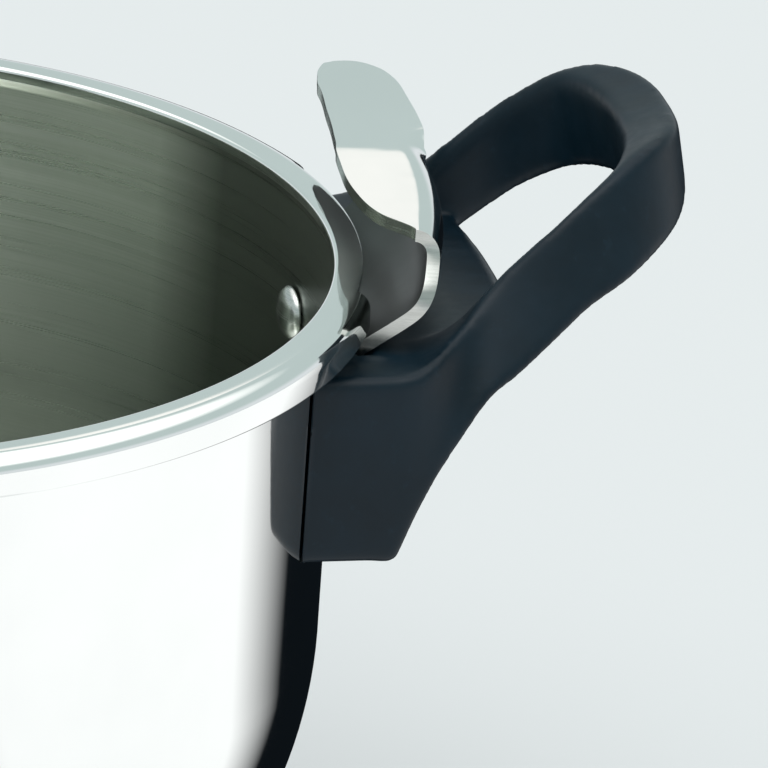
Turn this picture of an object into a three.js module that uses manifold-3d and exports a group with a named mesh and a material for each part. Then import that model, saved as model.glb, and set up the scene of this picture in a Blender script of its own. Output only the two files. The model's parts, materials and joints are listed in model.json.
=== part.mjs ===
// Stovetop pressure cooker: an open pot with two hook brackets and two loop handles, and its lid
// with a bridge bar, taken off and laid upside down on its knob beside the pot.
// Millimetres, +Z up. The origin is the centre of the pot's underside and the handles lie along X.
import * as THREE from "three";
import { mergeVertices } from "three/addons/utils/BufferGeometryUtils.js";
import Module from "manifold-3d";

// ---- driving dimensions ----
const gap = 0.3; // between pieces that touch
const potHeight = 138;
const potRadius = 110; // inside, at the mouth
const wall = 1;
const mouthLip = 0.8; // how far the mouth's edge stands in from the wall
const wallTaper = 1.7; // how far the wall leans in over its straight part
const bellyHeight = 60.4; // of the curve below the straight wall
const bellyRadius = 82; // curve from the straight wall to the floor
const floorThickness = 1.6;
const rimOverhang = 6.2; // rim's outer edge past the wall
const rimShoulder = 3.5;
const rimThickness = 1.7;
const skirtDepth = 7.4;
const notchAngle = 17.5; // half the stretch where the rim's edge is cut away at a bracket
const notchDepth = 2.6;
const coreThickness = 6;
const capThickness = 1;
const capOverlap = 1; // how far the cap's edge stands up past the core

const sheet = 2.6; // bracket sheet
const bracketAngle = 18; // half the bracket's stretch round the pot
const flangeAngle = 14;
const flangeTop = -15; // below the rim top, as are the other bracket heights
const flangeBottom = -40;
const channelDepth = 12.1; // channel's foot, below the rim top
const channelReach = 10.8; // channel's wall, past the rim's outer edge
const roofTop = 13;
const roofSlope = 3.5; // degrees, on the near side of the fold
const roofInset = 5.6; // roof's free edge, inside the rim's outer edge
const tongueAngle = 22.5;
const rivetAngle = 10.5;
const rivetDepth = 25;
const rivetRadius = 2.5;
const rivetHeadRadius = 5.3;

const handleWidth = 99;
const handleReach = 57.5; // loop's far end, past the rim's outer edge
const handleDrop = 48.1; // block's underside, below the rim top
const handleRise = 21.6; // loop's top, above the rim top
const blockFoot = 6; // block's underside, past the wall
const fingerStart = 22.5; // finger opening, past the rim's outer edge
const fingerReach = 23.2;
const fingerWidth = 62;
const webTop = -9.5;
const screwDepth = 27;
const screwRadius = 2;
const screwHeadRadius = 5;

const lidRadius = 111.9; // just inside the brackets' free edges
const lidSheet = 1;
const lidRise = 13; // flat top of the lid, above the rim top
const brimHeight = 4.2;
const brimWidth = 7.5;
const plateauRadius = 76;
const barReach = 126;
const barThickness = 3.2;
const barWidth = 26;
const barEndWidth = 20;
const barEndHeight = 4.6; // underside of the bar's ends, above the rim top
const barRise = 31; // underside of the bar's middle
const barOpenAngle = 50; // bar's angle from the handles while it is free
const spindleRadius = 5;
const footRadius = 9;
const bossRadius = 16;
const knobRadius = 26;
const knobBottom = 45;
const knobTop = 70; // above the rim top
const valvePlace = 62; // valves, from the lid's centre
const valveAngle = 118;
const stemRadius = 5;
const weightRadius = 12;
const lidDistance = 280; // between the centres of the pot and of the lid beside it
const lidBearing = 4.5; // degrees, from +Y towards -X

const around = 60; // facets round the pot and lid
const turned = 24; // facets round a small turned piece

// ---- values worked out from them ----
const wallTop = potRadius + mouthLip + wall; // outside of the wall, under the rim
const rimRadius = wallTop + rimOverhang;
const capTop = capThickness + gap + coreThickness + capOverlap;
const shellBottom = capThickness + gap + coreThickness + gap;
const straightDepth = potHeight - shellBottom - bellyHeight; // of the straight wall, below the rim top
const channelRadius = rimRadius + channelReach;
const lidUnder = lidRise - lidSheet;
const facetDip = wallTop * (1 - Math.cos(Math.PI / around)); // how far a facet's middle lies inside the circle

// ---- materials ----
const steel = (color, roughness) => new THREE.MeshStandardMaterial({ color, roughness, metalness: 1 });
const plain = (color, roughness) => new THREE.MeshStandardMaterial({ color, roughness, metalness: 0 });
const polished = () => steel(0xd6dcda, 0.12);
const brushed = () => steel(0x9aa29e, 0.35);
const bakelite = () => plain(0x1c2730, 0.45);
const rubber = () => plain(0x6f7577, 0.8);

// ---- solids ----
const wasm = await Module();
wasm.setup();
const rad = THREE.MathUtils.degToRad;

function solid(geometry) {
  const bare = geometry.clone();
  bare.deleteAttribute("normal");
  bare.deleteAttribute("uv");
  const merged = mergeVertices(bare, 1e-4);
  return new wasm.Manifold(
    new wasm.Mesh({
      numProp: 3,
      vertProperties: new Float32Array(merged.attributes.position.array),
      triVerts: new Uint32Array(merged.index.array),
    }),
  );
}

function geometryOf(made) {
  const mesh = made.getMesh();
  const geometry = new THREE.BufferGeometry();
  geometry.setAttribute("position", new THREE.BufferAttribute(new Float32Array(mesh.vertProperties), 3));
  geometry.setIndex(new THREE.BufferAttribute(new Uint32Array(mesh.triVerts), 1));
  return geometry;
}

const outline = (points) => new THREE.Shape(points.map(([x, y]) => new THREE.Vector2(x, y)));

// Turns a profile of [radius, height] points round Z.
function lathe(points, segments = turned) {
  const profile = points.map(([r, z]) => new THREE.Vector2(r, z));
  return new THREE.LatheGeometry(profile, segments).rotateX(Math.PI / 2);
}

// A closed ring whose profile doesn't reach the axis.
const ring = (points, segments = turned) => lathe([...points, points[0]], segments);

const disc = (radius, low, high, segments = turned) =>
  lathe([[0, low], [radius, low], [radius, high], [0, high]], segments);

// Raises an XY outline from one height to another.
const prism = (points, low, high) =>
  new THREE.ExtrudeGeometry(outline(points), { depth: high - low, bevelEnabled: false }).translate(0, 0, low);

// Carries an outline in the XZ plane along Y, over a width centred on the origin.
const sideProfile = (points, width) =>
  new THREE.ExtrudeGeometry(outline(points), { depth: width, bevelEnabled: false })
    .rotateX(Math.PI / 2)
    .translate(0, width / 2, 0);

// A wedge about Z between two angles in degrees, out to a radius.
function sector(from, to, radius, low, high) {
  const steps = 4;
  const rimPoints = Array.from({ length: steps + 1 }, (_, i) => {
    const angle = rad(from + ((to - from) * i) / steps);
    return [radius * Math.cos(angle), radius * Math.sin(angle)];
  });
  return prism([[0, 0], ...rimPoints], low, high);
}

// A round bar that points outwards from the pot's axis, at an angle and a height.
function radialRod(radius, from, to, angle, height, segments = 16) {
  return new THREE.CylinderGeometry(radius, radius, to - from, segments)
    .rotateZ(-Math.PI / 2)
    .translate((from + to) / 2, 0, 0)
    .rotateZ(rad(angle))
    .translate(0, 0, height);
}

// Outer radius of the pot's wall at a height, for the straight wall and the curve below it.
function wallRadius(z) {
  const depth = potHeight - z;
  const top = wallTop;
  if (depth <= straightDepth) return top - (wallTaper * depth) / straightDepth;
  return top - wallTaper - bellyRadius + Math.sqrt(bellyRadius ** 2 - (depth - straightDepth) ** 2);
}

function named(name, geometry, material) {
  const mesh = new THREE.Mesh(geometry, material);
  mesh.name = name;
  return mesh;
}

// ---- pot ----
function shellProfile() {
  const curve = 7;
  const under = [];
  const bellyTop = potHeight - straightDepth;
  for (let i = 0; i <= curve; i++) under.push(shellBottom + ((bellyTop - shellBottom) * i) / curve);
  const floor = shellBottom + floorThickness;
  const outside = under.map((z) => [wallRadius(z), z]);
  const inside = under
    .slice(1)
    .map((z) => [wallRadius(z) - wall, z])
    .reverse();
  const rimIn = rimRadius - rimShoulder;
  const shoulder = [80, 60, 40, 20, 0].map((a) => [
    rimIn + rimShoulder * Math.cos(rad(a)),
    potHeight - rimShoulder + rimShoulder * Math.sin(rad(a)),
  ]);
  const skirtInner = rimRadius - rimThickness;
  const neck = wallRadius(potHeight - rimThickness);
  return [
    [0, shellBottom],
    ...outside,
    [neck, potHeight - rimThickness],
    [rimIn, potHeight - rimThickness],
    [skirtInner, potHeight - rimShoulder],
    [skirtInner, potHeight - skirtDepth],
    [rimRadius, potHeight - skirtDepth],
    ...shoulder.reverse(),
    [rimIn, potHeight],
    [potRadius + 0.5, potHeight],
    [potRadius, potHeight - 0.5],
    [potRadius, potHeight - 1.6],
    [wallRadius(potHeight - 3) - wall, potHeight - 3],
    ...inside,
    [wallRadius(floor) - wall - floorThickness, floor],
    [0, floor],
  ];
}

// Cuts the rim's rounded edge and skirt away where a bracket passes.
const rimNotch = () =>
  solid(sector(-notchAngle, notchAngle, rimRadius + 8, potHeight - skirtDepth - 2, potHeight + 2)).subtract(
    solid(disc(rimRadius - notchDepth, 0, potHeight + 5, around)),
  );

function rivetHoles(radius) {
  const made = [];
  for (const side of [0, 180])
    for (const way of [-1, 1])
      made.push(
        solid(radialRod(radius, potRadius - 12, rimRadius + 4, side + way * rivetAngle, potHeight - rivetDepth)),
      );
  return made;
}

function potShell() {
  let made = solid(lathe(shellProfile(), around));
  for (const side of [0, 180]) made = made.subtract(rimNotch().rotate([0, 0, side]));
  for (const hole of rivetHoles(rivetRadius + gap)) made = made.subtract(hole);
  return named("pot_shell", geometryOf(made), polished());
}

function baseCore() {
  const radius = wallRadius(shellBottom) - gap;
  const low = capThickness + gap;
  return named("base_core", disc(radius, low, low + coreThickness, around), brushed());
}

function baseCap() {
  const inner = wallRadius(capTop) + gap;
  const outer = inner + capThickness;
  const profile = [
    [0, 0],
    [outer - 2, 0],
    [outer - 0.6, 0.6],
    [outer, 2],
    [outer, capTop],
    [inner, capTop],
    [inner, capThickness],
    [0, capThickness],
  ];
  return named("base_cap", lathe(profile, around), polished());
}

// ---- hook brackets ----
// Flange down the pot's wall, sloping channel under the rim and wall of the channel, as one section.
function flangeSection() {
  const lowest = potHeight + flangeBottom;
  const highest = potHeight - channelDepth;
  return [
    [wallRadius(lowest) + gap, lowest],
    [wallRadius(lowest) + gap + sheet, lowest],
    [wallRadius(highest) + gap + sheet, potHeight + flangeTop],
    [wallRadius(highest) + gap + sheet, highest],
    [wallRadius(highest) + gap, highest],
  ];
}

function channelSection() {
  const foot = wallTop + gap;
  const bend = channelRadius - 3;
  const lift = sheet * 0.63; // half the sheet, measured upright on the slope
  const low = potHeight - channelDepth;
  return [
    [foot, low - 2 * lift],
    [foot + sheet, low - 2 * lift + 0.4],
    [bend, potHeight - 3.6 - lift],
    [channelRadius + sheet / 2 - 0.6, potHeight - 1.2],
    [channelRadius + sheet / 2, potHeight + 2],
    [channelRadius + sheet / 2, potHeight + roofTop],
    [channelRadius - sheet / 2, potHeight + roofTop],
    [channelRadius - sheet / 2, potHeight + 2],
    [bend - 0.6, potHeight - 3.6 + lift],
    [foot + sheet, low + 0.9],
    [foot, low + 0.4],
  ];
}

const polar = ([r, angle]) => [r * Math.cos(rad(angle)), r * Math.sin(rad(angle))];

// Roof and tongue over the channel, seen from above.
function roofPlan() {
  const free = rimRadius - roofInset;
  const outer = channelRadius + sheet / 2;
  const points = [
    [outer, -bracketAngle],
    [outer, -12],
    [outer, -6],
    [outer, 0],
    [outer + 1, 3],
    [outer + 7.4, tongueAngle - 2.4],
    [outer + 7, tongueAngle - 1],
    [outer + 4, tongueAngle + 1],
    [free + 14, tongueAngle + 1.4],
    [free + 11, tongueAngle + 0.8],
    [free + 9.4, tongueAngle - 1],
    [free + 5.6, 14],
    [free + 2.2, 7.3],
    [free, 2],
    [free, -6],
    [free + 0.9, -9.6],
    [free + 3.8, -12],
    [free + 8.4, -14.4],
    [free + 13.5, -16.2],
  ];
  return points.map(polar);
}

// Fills what lies under the roof's bent top face, down to a depth; the fold crosses the roof at a slant.
function underRoof(depth) {
  const reach = 60;
  const drop = reach * Math.tan(rad(roofSlope));
  const top = potHeight + roofTop;
  const across = [
    [-reach, top - drop - depth],
    [0, top - depth],
    [reach, top - depth],
    [reach, top],
    [0, top],
    [-reach, top - drop],
  ];
  const fold = new THREE.Vector2(rimRadius + 2, -1.5);
  return solid(
    sideProfile(across, 2 * reach)
      .rotateZ(Math.PI / 2 - rad(32))
      .translate(fold.x, fold.y, 0),
  );
}

function hookBracket(name, side) {
  const flange = solid(ring(flangeSection(), around)).intersect(
    solid(sector(-flangeAngle, flangeAngle, rimRadius + 20, 0, potHeight)),
  );
  const channel = solid(ring(channelSection(), around)).intersect(
    solid(sector(-bracketAngle, bracketAngle, rimRadius + 30, 0, potHeight + 30)),
  );
  const openEnd = solid(
    sector(tongueAngle - 6, tongueAngle + 10, rimRadius + 30, potHeight + 2, potHeight + 30),
  );
  const roof = solid(prism(roofPlan(), potHeight, potHeight + roofTop + 2)).intersect(underRoof(sheet));
  const bar = channel.subtract(openEnd).intersect(underRoof(60));
  let made = flange.add(bar).add(roof);
  for (const hole of rivetHoles(rivetRadius + gap)) made = made.subtract(hole);
  return named(name, geometryOf(made.rotate([0, 0, side])), polished());
}

function rivet(name, angle) {
  const inner = wallRadius(potHeight - rivetDepth) - wall - facetDip - gap;
  const outer = wallRadius(potHeight - rivetDepth) + gap + sheet + gap;
  const head = 2.6;
  const tail = 1.5;
  const profile = [
    [0, inner - head],
    [rivetHeadRadius * 0.45, inner - head * 0.92],
    [rivetHeadRadius * 0.8, inner - head * 0.6],
    [rivetHeadRadius, inner - 0.4],
    [rivetHeadRadius, inner],
    [rivetRadius, inner],
    [rivetRadius, outer],
    [rivetHeadRadius - 1.5, outer],
    [rivetHeadRadius - 1.5, outer + tail],
    [0, outer + tail],
  ];
  const shape = lathe(profile, 14)
    .rotateY(Math.PI / 2)
    .rotateZ(rad(angle))
    .translate(0, 0, potHeight - rivetDepth);
  return named(name, shape, polished());
}

// ---- handles ----
// Seen from the side: [reach past the rim, height above the rim top].
function handleSide() {
  const tip = handleReach;
  const top = handleRise;
  const foot = wallTop + blockFoot - rimRadius;
  return [
    [-30, -handleDrop],
    [foot - 1, -handleDrop],
    [foot + 0.6, -handleDrop + 1.6],
    [foot + 7.5, -handleDrop + 15],
    [15.6, -18.5],
    [20.7, -14],
    [26.5, -9.4],
    [37.2, -0.8],
    [43, 2],
    [tip - 7.5, 6],
    [tip - 2, 9.5],
    [tip, 12.5],
    [tip, top - 3],
    [tip - 2.5, top],
    [tip - 11, top - 0.8],
    [39, 17],
    [29, 9.9],
    [19, 1],
    [13, -4],
    [-30, -4],
  ].map(([reach, height]) => [rimRadius + reach, potHeight + height]);
}

function handlePlan() {
  const half = handleWidth / 2;
  const tip = handleReach;
  const edge = [
    [-30, half],
    [2, half],
    [9, half - 1.3],
    [15.6, half - 3.5],
    [26.5, half - 7.5],
    [37.2, half - 11.5],
    [tip - 15, half - 14.5],
    [tip - 8, half - 22],
    [tip - 4, half - 29],
    [tip - 1, half - 39],
  ];
  const other = edge.map(([reach, side]) => [reach, -side]).reverse();
  return [...edge, [tip, 0], ...other].map(([reach, side]) => [rimRadius + reach, side]);
}

function fingerPlan() {
  const half = fingerWidth / 2;
  const end = fingerStart + fingerReach;
  const edge = [
    [fingerStart, half - 4],
    [fingerStart + 3, half - 0.8],
    [fingerStart + 8, half],
    [end - 10, half - 2],
    [end - 5, half - 6],
    [end - 2, half - 12],
    [end - 0.5, half - 21],
  ];
  const other = edge.map(([reach, side]) => [reach, -side]).reverse();
  return [...edge, ...other].map(([reach, side]) => [rimRadius + reach, side]);
}

// Room for the pot's wall, the bracket and the rivets' tails.
function handleSeat() {
  const wallSide = [
    [0, 0],
    ...[-60, -handleDrop, -30, -15, 0].map((h) => [wallRadius(potHeight + h) + gap, potHeight + h]),
    [wallTop + gap, potHeight + 40],
    [0, potHeight + 40],
  ];
  const back = wallRadius(potHeight + flangeTop) + gap + sheet + gap + 1.5 + 2 * gap + 0.8;
  const pocket = solid(ring([[90, 0], [back, 0], [back, 1], [90, 1]], around))
    .scale([1, 1, flangeTop - flangeBottom + 4])
    .translate([0, 0, potHeight + flangeBottom - 1])
    .intersect(solid(sector(-flangeAngle - 1, flangeAngle + 1, 140, 0, potHeight)));
  const lift = sheet * 0.63 + gap + 0.3;
  const above = [
    [90, potHeight - channelDepth - 2 * lift],
    [wallTop + gap + sheet, potHeight - channelDepth - 2 * lift + 0.4],
    [channelRadius - 3, potHeight - 3.6 - lift - gap],
    [channelRadius + sheet / 2 + gap, potHeight - 1.8],
    [channelRadius + sheet / 2 + gap, potHeight + 40],
    [90, potHeight + 40],
  ];
  return solid(lathe(wallSide, around)).add(pocket).add(solid(ring(above, around)));
}

function handle(name, side) {
  const screwHeight = potHeight - screwDepth;
  const finger = prism(fingerPlan(), potHeight - 60, potHeight + 60);
  const trough = prism(
    [
      [rimRadius, -fingerWidth / 2 + 1],
      [rimRadius + fingerStart + 4, -fingerWidth / 2 + 1],
      [rimRadius + fingerStart + 4, fingerWidth / 2 - 1],
      [rimRadius, fingerWidth / 2 - 1],
    ],
    potHeight + webTop,
    potHeight + 60,
  );
  const made = solid(sideProfile(handleSide(), handleWidth + 10))
    .intersect(solid(prism(handlePlan(), 0, potHeight + 60)))
    .subtract(solid(finger))
    .subtract(solid(trough))
    .subtract(handleSeat())
    .subtract(solid(radialRod(screwRadius + gap, potRadius, rimRadius + 20, 0, screwHeight)))
    .subtract(solid(radialRod(screwHeadRadius + gap, rimRadius + 3, rimRadius + 20, 0, screwHeight)));
  return named(name, geometryOf(made.rotate([0, 0, side])), bakelite());
}

function handleScrew(name, side) {
  const height = potHeight - screwDepth;
  const head = rimRadius + 3 + gap;
  const shank = solid(radialRod(screwRadius, nutFace() + gap, head + 1, 0, height));
  const top = solid(radialRod(screwHeadRadius, head, head + 3, 0, height, 20));
  return named(name, geometryOf(shank.add(top).rotate([0, 0, side])), steel(0xb0b5b4, 0.3));
}

const nutFace = () => wallRadius(potHeight - screwDepth) + 2 * gap + sheet;

function handleNut(name, side) {
  const height = potHeight - screwDepth;
  const made = solid(radialRod(4.5, nutFace(), nutFace() + 2, 0, height, 6)).subtract(
    solid(radialRod(screwRadius + gap, nutFace() - 2, nutFace() + 4, 0, height)),
  );
  return named(name, geometryOf(made.rotate([0, 0, side])), steel(0xa5aaa8, 0.4));
}

// ---- lid, built in place on the pot: heights are above the rim top ----
function lidShell() {
  const inner = lidRadius - brimWidth;
  const hill = (z) => [
    [plateauRadius, lidRise + z],
    [plateauRadius + 8, lidRise - 1.2 + z],
    [plateauRadius + 15, lidRise - 4.2 + z],
    [inner - 8, lidRise - 7.2 + z],
  ];
  const profile = [
    [0, lidUnder],
    ...hill(-lidSheet),
    [inner - 4.5, 1.6],
    [inner - 1.8, 1.3],
    [inner - 0.6, 1.6],
    [inner + 0.6, brimHeight - lidSheet - 0.3],
    [inner + 1.2, brimHeight - lidSheet],
    [lidRadius, brimHeight - lidSheet],
    [lidRadius, brimHeight - 0.4],
    [lidRadius - 0.5, brimHeight],
    [inner + 0.4, brimHeight],
    [inner - 1, brimHeight - 1],
    [inner - 2.4, 2.6],
    [inner - 4.5, 2.9],
    ...hill(0).reverse(),
    [0, lidRise],
  ];
  const holes = [valveAngle, valveAngle + 180].map((angle) =>
    solid(disc(stemRadius + gap, 0, 40))
      .translate([valvePlace, 0, 0])
      .rotate([0, 0, angle]),
  );
  const made = solid(lathe(profile, around)).subtract(holes[0]).subtract(holes[1]);
  return named("lid_shell", geometryOf(made), polished());
}

function lidGasket() {
  const inner = lidRadius - brimWidth + 1;
  const outer = lidRadius - gap;
  const top = brimHeight - lidSheet - gap;
  const profile = [
    [inner, gap],
    [outer, gap],
    [outer, top - 0.5],
    [outer - 0.5, top],
    [inner + 0.8, top],
    [inner, top - 0.8],
  ];
  return named("lid_gasket", ring(profile, around), rubber());
}

const bossTop = lidRise + gap + 8.7;
const footBottom = lidRise + gap + 2.5;

function lidBoss() {
  const profile = [
    [0, lidRise + gap],
    [bossRadius, lidRise + gap],
    [bossRadius, lidRise + gap + 2],
    [bossRadius - 3, bossTop - 1],
    [bossRadius - 4, bossTop],
    [footRadius + gap, bossTop],
    [footRadius + gap, footBottom - gap],
    [0, footBottom - gap],
  ];
  return named("lid_boss", lathe(profile), brushed());
}

function spindle() {
  const foot = footBottom + 3.2;
  const profile = [
    [0, footBottom],
    [footRadius, footBottom],
    [footRadius, foot],
    [spindleRadius, foot],
    [spindleRadius, knobTop - 12],
    [screwRadius + gap, knobTop - 12],
    [screwRadius + gap, knobBottom + 1],
    [0, knobBottom + 1],
  ];
  return named("spindle", lathe(profile), brushed());
}

function retainingRing() {
  const low = footBottom + 3.2 + gap;
  const inner = spindleRadius + gap;
  const outer = footRadius - 0.1;
  const profile = [[inner, low], [outer, low], [outer, low + 1.6], [inner, low + 1.6]];
  return named("spindle_retaining_ring", ring(profile), brushed());
}

const collarHalf = 8;

// Round flange with a square neck that the bridge bar slides up and down on and turns with.
function swivelCollar() {
  const low = bossTop + gap;
  const neckTop = barRise + barThickness - 0.1;
  const square = (h, z0, z1) => prism([[-h, -h], [h, -h], [h, h], [-h, h]], z0, z1);
  const made = solid(disc(bossRadius - 3, low, low + 2))
    .add(solid(square(collarHalf, low + 1, neckTop)))
    .subtract(solid(disc(spindleRadius + gap, 0, knobTop)))
    .rotate([0, 0, barOpenAngle]);
  return named("swivel_collar", geometryOf(made), brushed());
}

// Half of the bar's side outline, from the middle to one end: [reach, underside height].
function barSide() {
  const under = [
    [26, barRise],
    [33, barRise - 1.6],
    [94, barEndHeight + 5],
    [104, barEndHeight + 0.9],
    [110, barEndHeight],
    [barReach, barEndHeight],
  ];
  const lower = [...under.map(([x, z]) => [-x, z]).reverse(), ...under];
  const upper = lower.map(([x, z]) => [x, z + barThickness]).reverse();
  return [...lower, ...upper];
}

function bridgeBar() {
  const half = barWidth / 2;
  const end = barEndWidth / 2;
  const corner = [
    [30, half],
    [96, end],
    [barReach - 4, end],
    [barReach, end - 4],
  ];
  const quarter = (sx, sy) => corner.map(([x, y]) => [sx * x, sy * y]);
  const plan = [
    ...quarter(1, 1).reverse(),
    ...quarter(-1, 1),
    ...quarter(-1, -1).reverse(),
    ...quarter(1, -1),
  ];
  const hole = collarHalf + gap;
  const made = solid(sideProfile(barSide(), barWidth + 4))
    .intersect(solid(prism(plan, 0, knobTop)))
    .subtract(solid(prism([[-hole, -hole], [hole, -hole], [hole, hole], [-hole, hole]], 0, knobTop)))
    .rotate([0, 0, barOpenAngle]);
  return named("bridge_bar", geometryOf(made), polished());
}

function bridgeNut() {
  const low = barRise + barThickness + gap;
  const inner = spindleRadius + gap;
  const profile = [[inner, low], [12.5, low], [12.5, low + 1.6], [9, low + 2.4], [9, low + 6], [inner, low + 6]];
  return named("bridge_nut", ring(profile), brushed());
}

const webHeight = 1.7; // knob's floor under its screw
const capSeat = knobTop - 12 + gap + webHeight;

function knob() {
  const shape = [];
  const lobes = 8;
  const steps = 40;
  for (let i = 0; i < steps; i++) {
    const angle = (2 * Math.PI * i) / steps;
    const r = knobRadius - 1.4 + 1.4 * Math.cos(lobes * angle);
    shape.push([r * Math.cos(angle), r * Math.sin(angle)]);
  }
  const form = [
    [0, knobBottom],
    [12, knobBottom],
    [15, knobBottom + 5],
    [knobRadius - 2, knobBottom + 9],
    [knobRadius + 1, knobBottom + 12],
    [knobRadius + 1, knobTop - 4],
    [knobRadius - 3, knobTop],
    [0, knobTop],
  ];
  const made = solid(lathe(form, 40))
    .intersect(solid(prism(shape, knobBottom - 1, knobTop + 1)))
    .subtract(solid(disc(spindleRadius + gap, knobBottom - 5, knobTop - 12 + gap)))
    .subtract(solid(disc(screwRadius + gap, knobBottom, knobTop + 5)))
    .subtract(solid(disc(11 + gap, capSeat, knobTop + 5)));
  return named("knob", geometryOf(made), bakelite());
}

function knobScrew() {
  const low = knobBottom + 3;
  const seat = capSeat + gap;
  const head = [[5, seat], [5, seat + 2], [4, seat + 3], [0, seat + 3]];
  const profile = [[0, low], [screwRadius, low], [screwRadius, seat], ...head];
  return named("knob_screw", lathe(profile, 20), steel(0xb0b5b4, 0.3));
}

function knobCap() {
  const low = capSeat + 2 * gap + 3.1;
  const profile = [[0, low], [11, low], [11, knobTop - 0.6], [10.2, knobTop], [0, knobTop]];
  return named("knob_cap", lathe(profile), bakelite());
}

// Puts a piece at one of the two valve places on the lid.
function atValve(geometry, angle) {
  return geometry
    .translate(valvePlace, 0, 0)
    .rotateZ(rad(angle));
}

const nutLow = lidUnder - gap - 1.3 - gap - 3.7;

function valveWasher(name, angle) {
  const inner = stemRadius + gap;
  const high = lidUnder - gap;
  const profile = [[inner, high - 1.3], [8.5, high - 1.3], [8.5, high], [inner, high]];
  return named(name, atValve(ring(profile), angle), rubber());
}

function valveNut(name, angle) {
  const high = nutLow + 3.7;
  const made = solid(disc(9, nutLow, high, 6)).subtract(solid(disc(stemRadius + gap, nutLow - 1, high + 1)));
  return named(name, atValve(geometryOf(made), angle), brushed());
}

const stemTop = lidRise + 21;

function ventStem() {
  const bore = 1.2;
  const low = nutLow - 1;
  const profile = [
    [bore, low],
    [stemRadius, low],
    [stemRadius, lidRise + gap],
    [8, lidRise + gap],
    [8, lidRise + 3],
    [4, lidRise + 4.5],
    [4, stemTop - 3],
    [2.2, stemTop],
    [bore, stemTop],
  ];
  return named("vent_stem", atValve(ring(profile, 20), valveAngle), brushed());
}

function valveWeight() {
  const low = lidRise + 7;
  const room = 4 + gap;
  const profile = [
    [room, low],
    [weightRadius - 1, low],
    [weightRadius, low + 1],
    [weightRadius, low + 13],
    [7, low + 16],
    [7, low + 20],
    [0, low + 20],
    [0, stemTop + gap],
    [2.2 + gap, stemTop + gap],
    [room, stemTop - 3 + gap],
  ];
  return named("valve_weight", atValve(lathe([...profile.slice(7), ...profile.slice(0, 7)], 24), valveAngle), polished());
}

function valveCap() {
  const low = lidRise + 27 + gap;
  const profile = [[0, low], [9, low], [10, low + 1], [10, low + 3], [8.5, low + 4.5], [0, low + 4.5]];
  return named("valve_cap", atValve(lathe(profile, 24), valveAngle), bakelite());
}

const boreRadius = 4;
const safetyLow = nutLow - 1.7;
const safetyTop = lidRise + 14;
const seatHeight = 3;
const pinDisc = 1.7;

function safetyBody() {
  const profile = [
    [boreRadius, safetyLow],
    [stemRadius, safetyLow],
    [stemRadius, lidRise + gap],
    [8.5, lidRise + gap],
    [8.5, lidRise + 4.3],
    [7, lidRise + 5],
    [7, safetyTop - 1],
    [6, safetyTop],
    [1.9, safetyTop],
    [1.9, safetyTop - 3],
    [boreRadius, safetyTop - 3],
  ];
  return named("safety_valve_body", atValve(ring(profile, 24), valveAngle + 180), brushed());
}

function safetySeat() {
  const low = safetyLow;
  const outer = boreRadius - 0.2;
  const profile = [[1.6, low], [outer, low], [outer, low + seatHeight], [1.6, low + seatHeight]];
  return named("safety_valve_seat", atValve(ring(profile, 20), valveAngle + 180), brushed());
}

function safetyPin() {
  const low = safetyLow + seatHeight + gap;
  const profile = [
    [0, low],
    [3.4, low],
    [3.4, low + pinDisc],
    [1.4, low + pinDisc],
    [1.4, safetyTop + 2],
    [1, safetyTop + 2.5],
    [0, safetyTop + 2.5],
  ];
  return named("safety_valve_pin", atValve(lathe(profile, 16), valveAngle + 180), steel(0xc98f3a, 0.3));
}

class Helix extends THREE.Curve {
  constructor(radius, low, high, turns) {
    super();
    Object.assign(this, { radius, low, high, turns });
  }
  getPoint(t, target = new THREE.Vector3()) {
    const angle = 2 * Math.PI * this.turns * t;
    const z = this.low + (this.high - this.low) * t;
    return target.set(this.radius * Math.cos(angle), this.radius * Math.sin(angle), z);
  }
}

const springLow = safetyLow + seatHeight + gap + pinDisc + gap;
const springTop = safetyTop - 3 - gap;

function safetySpring() {
  const wire = 0.45;
  const turns = 6;
  const path = new Helix(2.7, springLow + wire, springTop - wire, turns);
  const section = new THREE.Shape().absarc(0, 0, wire, 0, 2 * Math.PI);
  const steps = turns * 12;
  const coil = new THREE.ExtrudeGeometry(section, { steps, curveSegments: 3, extrudePath: path, bevelEnabled: false });
  return named("safety_valve_spring", atValve(coil, valveAngle + 180), steel(0xb5b9b8, 0.3));
}

// ---- the whole cooker ----
const cooker = new THREE.Group();
cooker.add(potShell(), baseCore(), baseCap());
for (const [word, side] of [["right", 0], ["left", 180]]) {
  cooker.add(
    hookBracket("hook_bracket_" + word, side),
    handle("handle_" + word, side),
    handleScrew("handle_screw_" + word, side),
    handleNut("handle_nut_" + word, side),
    rivet("rivet_" + word + "_near", side - rivetAngle),
    rivet("rivet_" + word + "_far", side + rivetAngle),
  );
}

const lid = new THREE.Group();
lid.add(lidShell(), lidGasket(), lidBoss(), spindle(), retainingRing());
lid.add(swivelCollar(), bridgeBar(), bridgeNut(), knob(), knobScrew(), knobCap());
lid.add(ventStem(), valveWasher("vent_washer", valveAngle), valveNut("vent_nut", valveAngle));
lid.add(valveWeight(), valveCap());
lid.add(safetyBody(), safetySeat(), safetyPin(), safetySpring());
lid.add(valveWasher("safety_valve_washer", valveAngle + 180), valveNut("safety_valve_nut", valveAngle + 180));

// Turned over beside the pot: half a turn about a level axis midway between the two places.
const bearing = rad(lidBearing);
lid.position.set(-lidDistance * Math.sin(bearing), lidDistance * Math.cos(bearing), knobTop);
lid.quaternion.setFromAxisAngle(new THREE.Vector3(Math.cos(bearing), Math.sin(bearing), 0), Math.PI);
cooker.add(lid);

export default cooker;
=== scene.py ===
import json
import math
import bpy
import bmesh
import numpy as np
from mathutils import Matrix, Vector


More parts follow.
